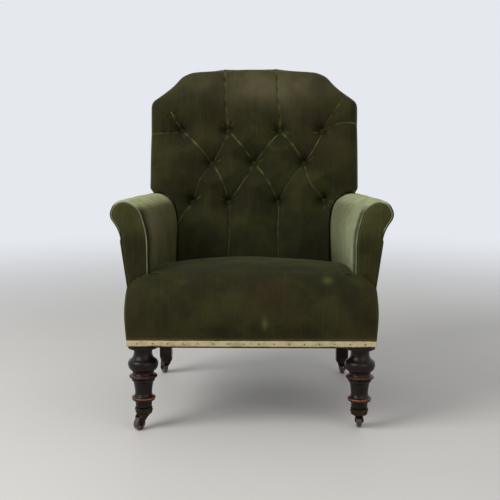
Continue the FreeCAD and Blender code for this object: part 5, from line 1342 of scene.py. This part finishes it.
# The tape round the base.
def tape_band():
    """A narrow band round the foot of the covers: a flat profile carried along the chair's plan.
    Its lower edge wanders by a millimetre or two, as old tape does between its tacks."""
    thickness = 1.3
    half_front = tape_high[0] - thickness
    half_back = HALF_BACK + SEAT_LIP + 0.3
    plan = np.array([
        (-half_front, tape_low[1] + thickness),
        (half_front, tape_low[1] + thickness),
        (half_front, BLOCK_REAR),
        (half_back, POST_FRONT),
        (half_back, tape_high[1] - thickness),
        (-half_back, tape_high[1] - thickness),
        (-half_back, POST_FRONT),
        (-half_front, BLOCK_REAR),
    ])
    closed = np.concatenate((plan, plan[:1]))
    run = measured(closed)
    extra = run[:-1, None] + np.array((-2.0, -1.0, 0.0, 1.0, 2.0))[None, :]
    places = np.unique(np.concatenate((np.arange(0, run[-1], 3.0), extra.ravel() % run[-1])))
    line = np.stack([np.interp(places, run, closed[:, axis]) for axis in (0, 1)], axis=-1)
    way = unit(np.roll(line, -1, axis=0) - np.roll(line, 1, axis=0))
    out = as_points(way[:, 1], -way[:, 0])
    edge = ripple(places, places * 0, 61, 60.0, 4)
    lower = tape_low[2] + 0.3 + np.abs(edge) * 1.6
    upper = tape_high[2] - 0.3 - np.abs(ripple(places, places * 0, 62, 90.0)) * 0.8
    ring = ((0.0, 0.0), (1.0, 0.0), (1.25, 0.12), (1.3, 0.5), (1.25, 0.88), (1.0, 1.0), (0.0, 1.0))
    ruffle = 0.35 * ripple(places, places * 0, 63, 34.0)
    columns = []
    cloth = []
    for stand, rise in ring:
        level = lower + (upper - lower) * rise
        flare = stand + (ruffle * (1 - rise) if stand > 0 else 0.0)
        spot = line + out * np.broadcast_to(np.maximum(flare, 0.0), places.shape)[:, None]
        columns.append(np.concatenate((spot, level[:, None]), axis=-1))
        cloth.append(as_points(places, level - tape_low[2]))
    grid = np.stack(columns)
    cloth = np.stack(cloth)
    faces = grid_faces(*grid.shape[:2], wrap=True, ring=True)
    mesh = make_mesh("linen_base_tape", grid.reshape(-1, 3), faces.tolist(), cloth.reshape(-1, 2))
    join_points(mesh, turn=True)
    piece = add_object("linen_base_tape", mesh)
    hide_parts("base_tape")
    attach(piece, "chair")
    dress(piece, FINISHES["tape"])


seat_velvet()
for arm_side, arm_sign in SIDES:
    arm_cover(arm_side, arm_sign)
    arm_facing(arm_side, arm_sign)
    arm_piping(arm_side, arm_sign)
    outside_arm(arm_side, arm_sign)
back_cover()
covered_buttons()
outside_back()
tape_band()


# Floor, light and camera.
BACKDROP = tone(229, 232, 238)


def pale_floor():
    """A plain pale floor, level with the wheels' treads. Far from the chair the lens and glossy
    surfaces see it turn into the backdrop's colour."""
    half = 14.0
    fade_start = 1.0
    fade_end = 3.9
    mesh = bpy.data.meshes.new("floor")
    spots = [(-half, -half, 0), (half, -half, 0), (half, half, 0), (-half, half, 0)]
    mesh.from_pydata(spots, [], [(0, 1, 2, 3)])
    floor = add_object("floor", mesh)
    paint = Paint("pale floor")
    cloud = paint.noise(paint.place(), 1.4, 3.0)
    colour = paint.mix(cloud, tone(208, 203, 196), tone(216, 211, 204))
    near = paint.node("BsdfPrincipled", inputs={"Base Color": colour, "Roughness": 0.62})
    glow = paint.node("Emission", inputs={"Color": BACKDROP, "Strength": 1.0})
    reach = paint.node("VectorMath", {"operation": "LENGTH"}, {0: paint.place()}, output="Value")
    share = reach.between(fade_start, fade_end) * paint.seen()
    paint.to_output(paint.node("MixShader", inputs={0: share, 1: near, 2: glow}))
    mesh.materials.append(paint.owner)


def soft_lamp(name, place, aim, size, power, colour):
    """A square lamp turned to face a point."""
    light = bpy.data.lights.new(name, "AREA")
    light.shape = "SQUARE"
    light.size = size
    light.energy = power
    light.color = colour
    lamp = add_object(name, light)
    lamp.location = place
    lamp.rotation_euler = (Vector(aim) - Vector(place)).to_track_quat("-Z", "Y").to_euler()


def surroundings():
    """Even light from all round. The lens and glossy surfaces see a pale backdrop instead."""
    world = bpy.data.worlds.new("studio")
    bpy.context.scene.world = world
    paint = Paint("studio", world)
    daylight = (0.92, 0.96, 1.0, 1.0)
    fill = paint.node("Background", inputs={"Color": daylight, "Strength": 0.5})
    backdrop = paint.node("Background", inputs={"Color": BACKDROP, "Strength": 1.0})
    mixed = paint.node("MixShader", inputs={0: paint.seen(), 1: fill, 2: backdrop})
    paint.to_output(mixed, "OutputWorld")


def photo_camera():
    """The photograph's view: height, distance and aim in metres and degrees; focal is in pixels of a
    500-pixel frame."""
    frame_pixels = 500
    focal = 950.0
    aside = 0.036
    distance = 2.66
    height = 0.80
    pitch = math.radians(8.14)
    turn = math.radians(0.96)
    lens = bpy.data.cameras.new("photo camera")
    lens.sensor_width = 36.0
    lens.lens = focal / frame_pixels * lens.sensor_width
    camera = add_object("photo camera", lens)
    camera.location = (aside, -distance, height)
    camera.rotation_euler = (math.pi / 2 - pitch, 0.0, turn)
    bpy.context.scene.camera = camera


pale_floor()
surroundings()
soft_lamp(
    "window", place=(-2.3, -1.7, 2.5), aim=(0.0, 0.0, 0.5), size=1.9, power=84.0,
    colour=(0.95, 0.98, 1.0),
)
soft_lamp(
    "front fill", place=(1.8, -2.8, 1.8), aim=(0.0, 0.0, 0.45), size=2.2, power=20.0,
    colour=(1.0, 0.98, 0.95),
)
photo_camera()
bpy.context.scene.view_settings.view_transform = "Standard"
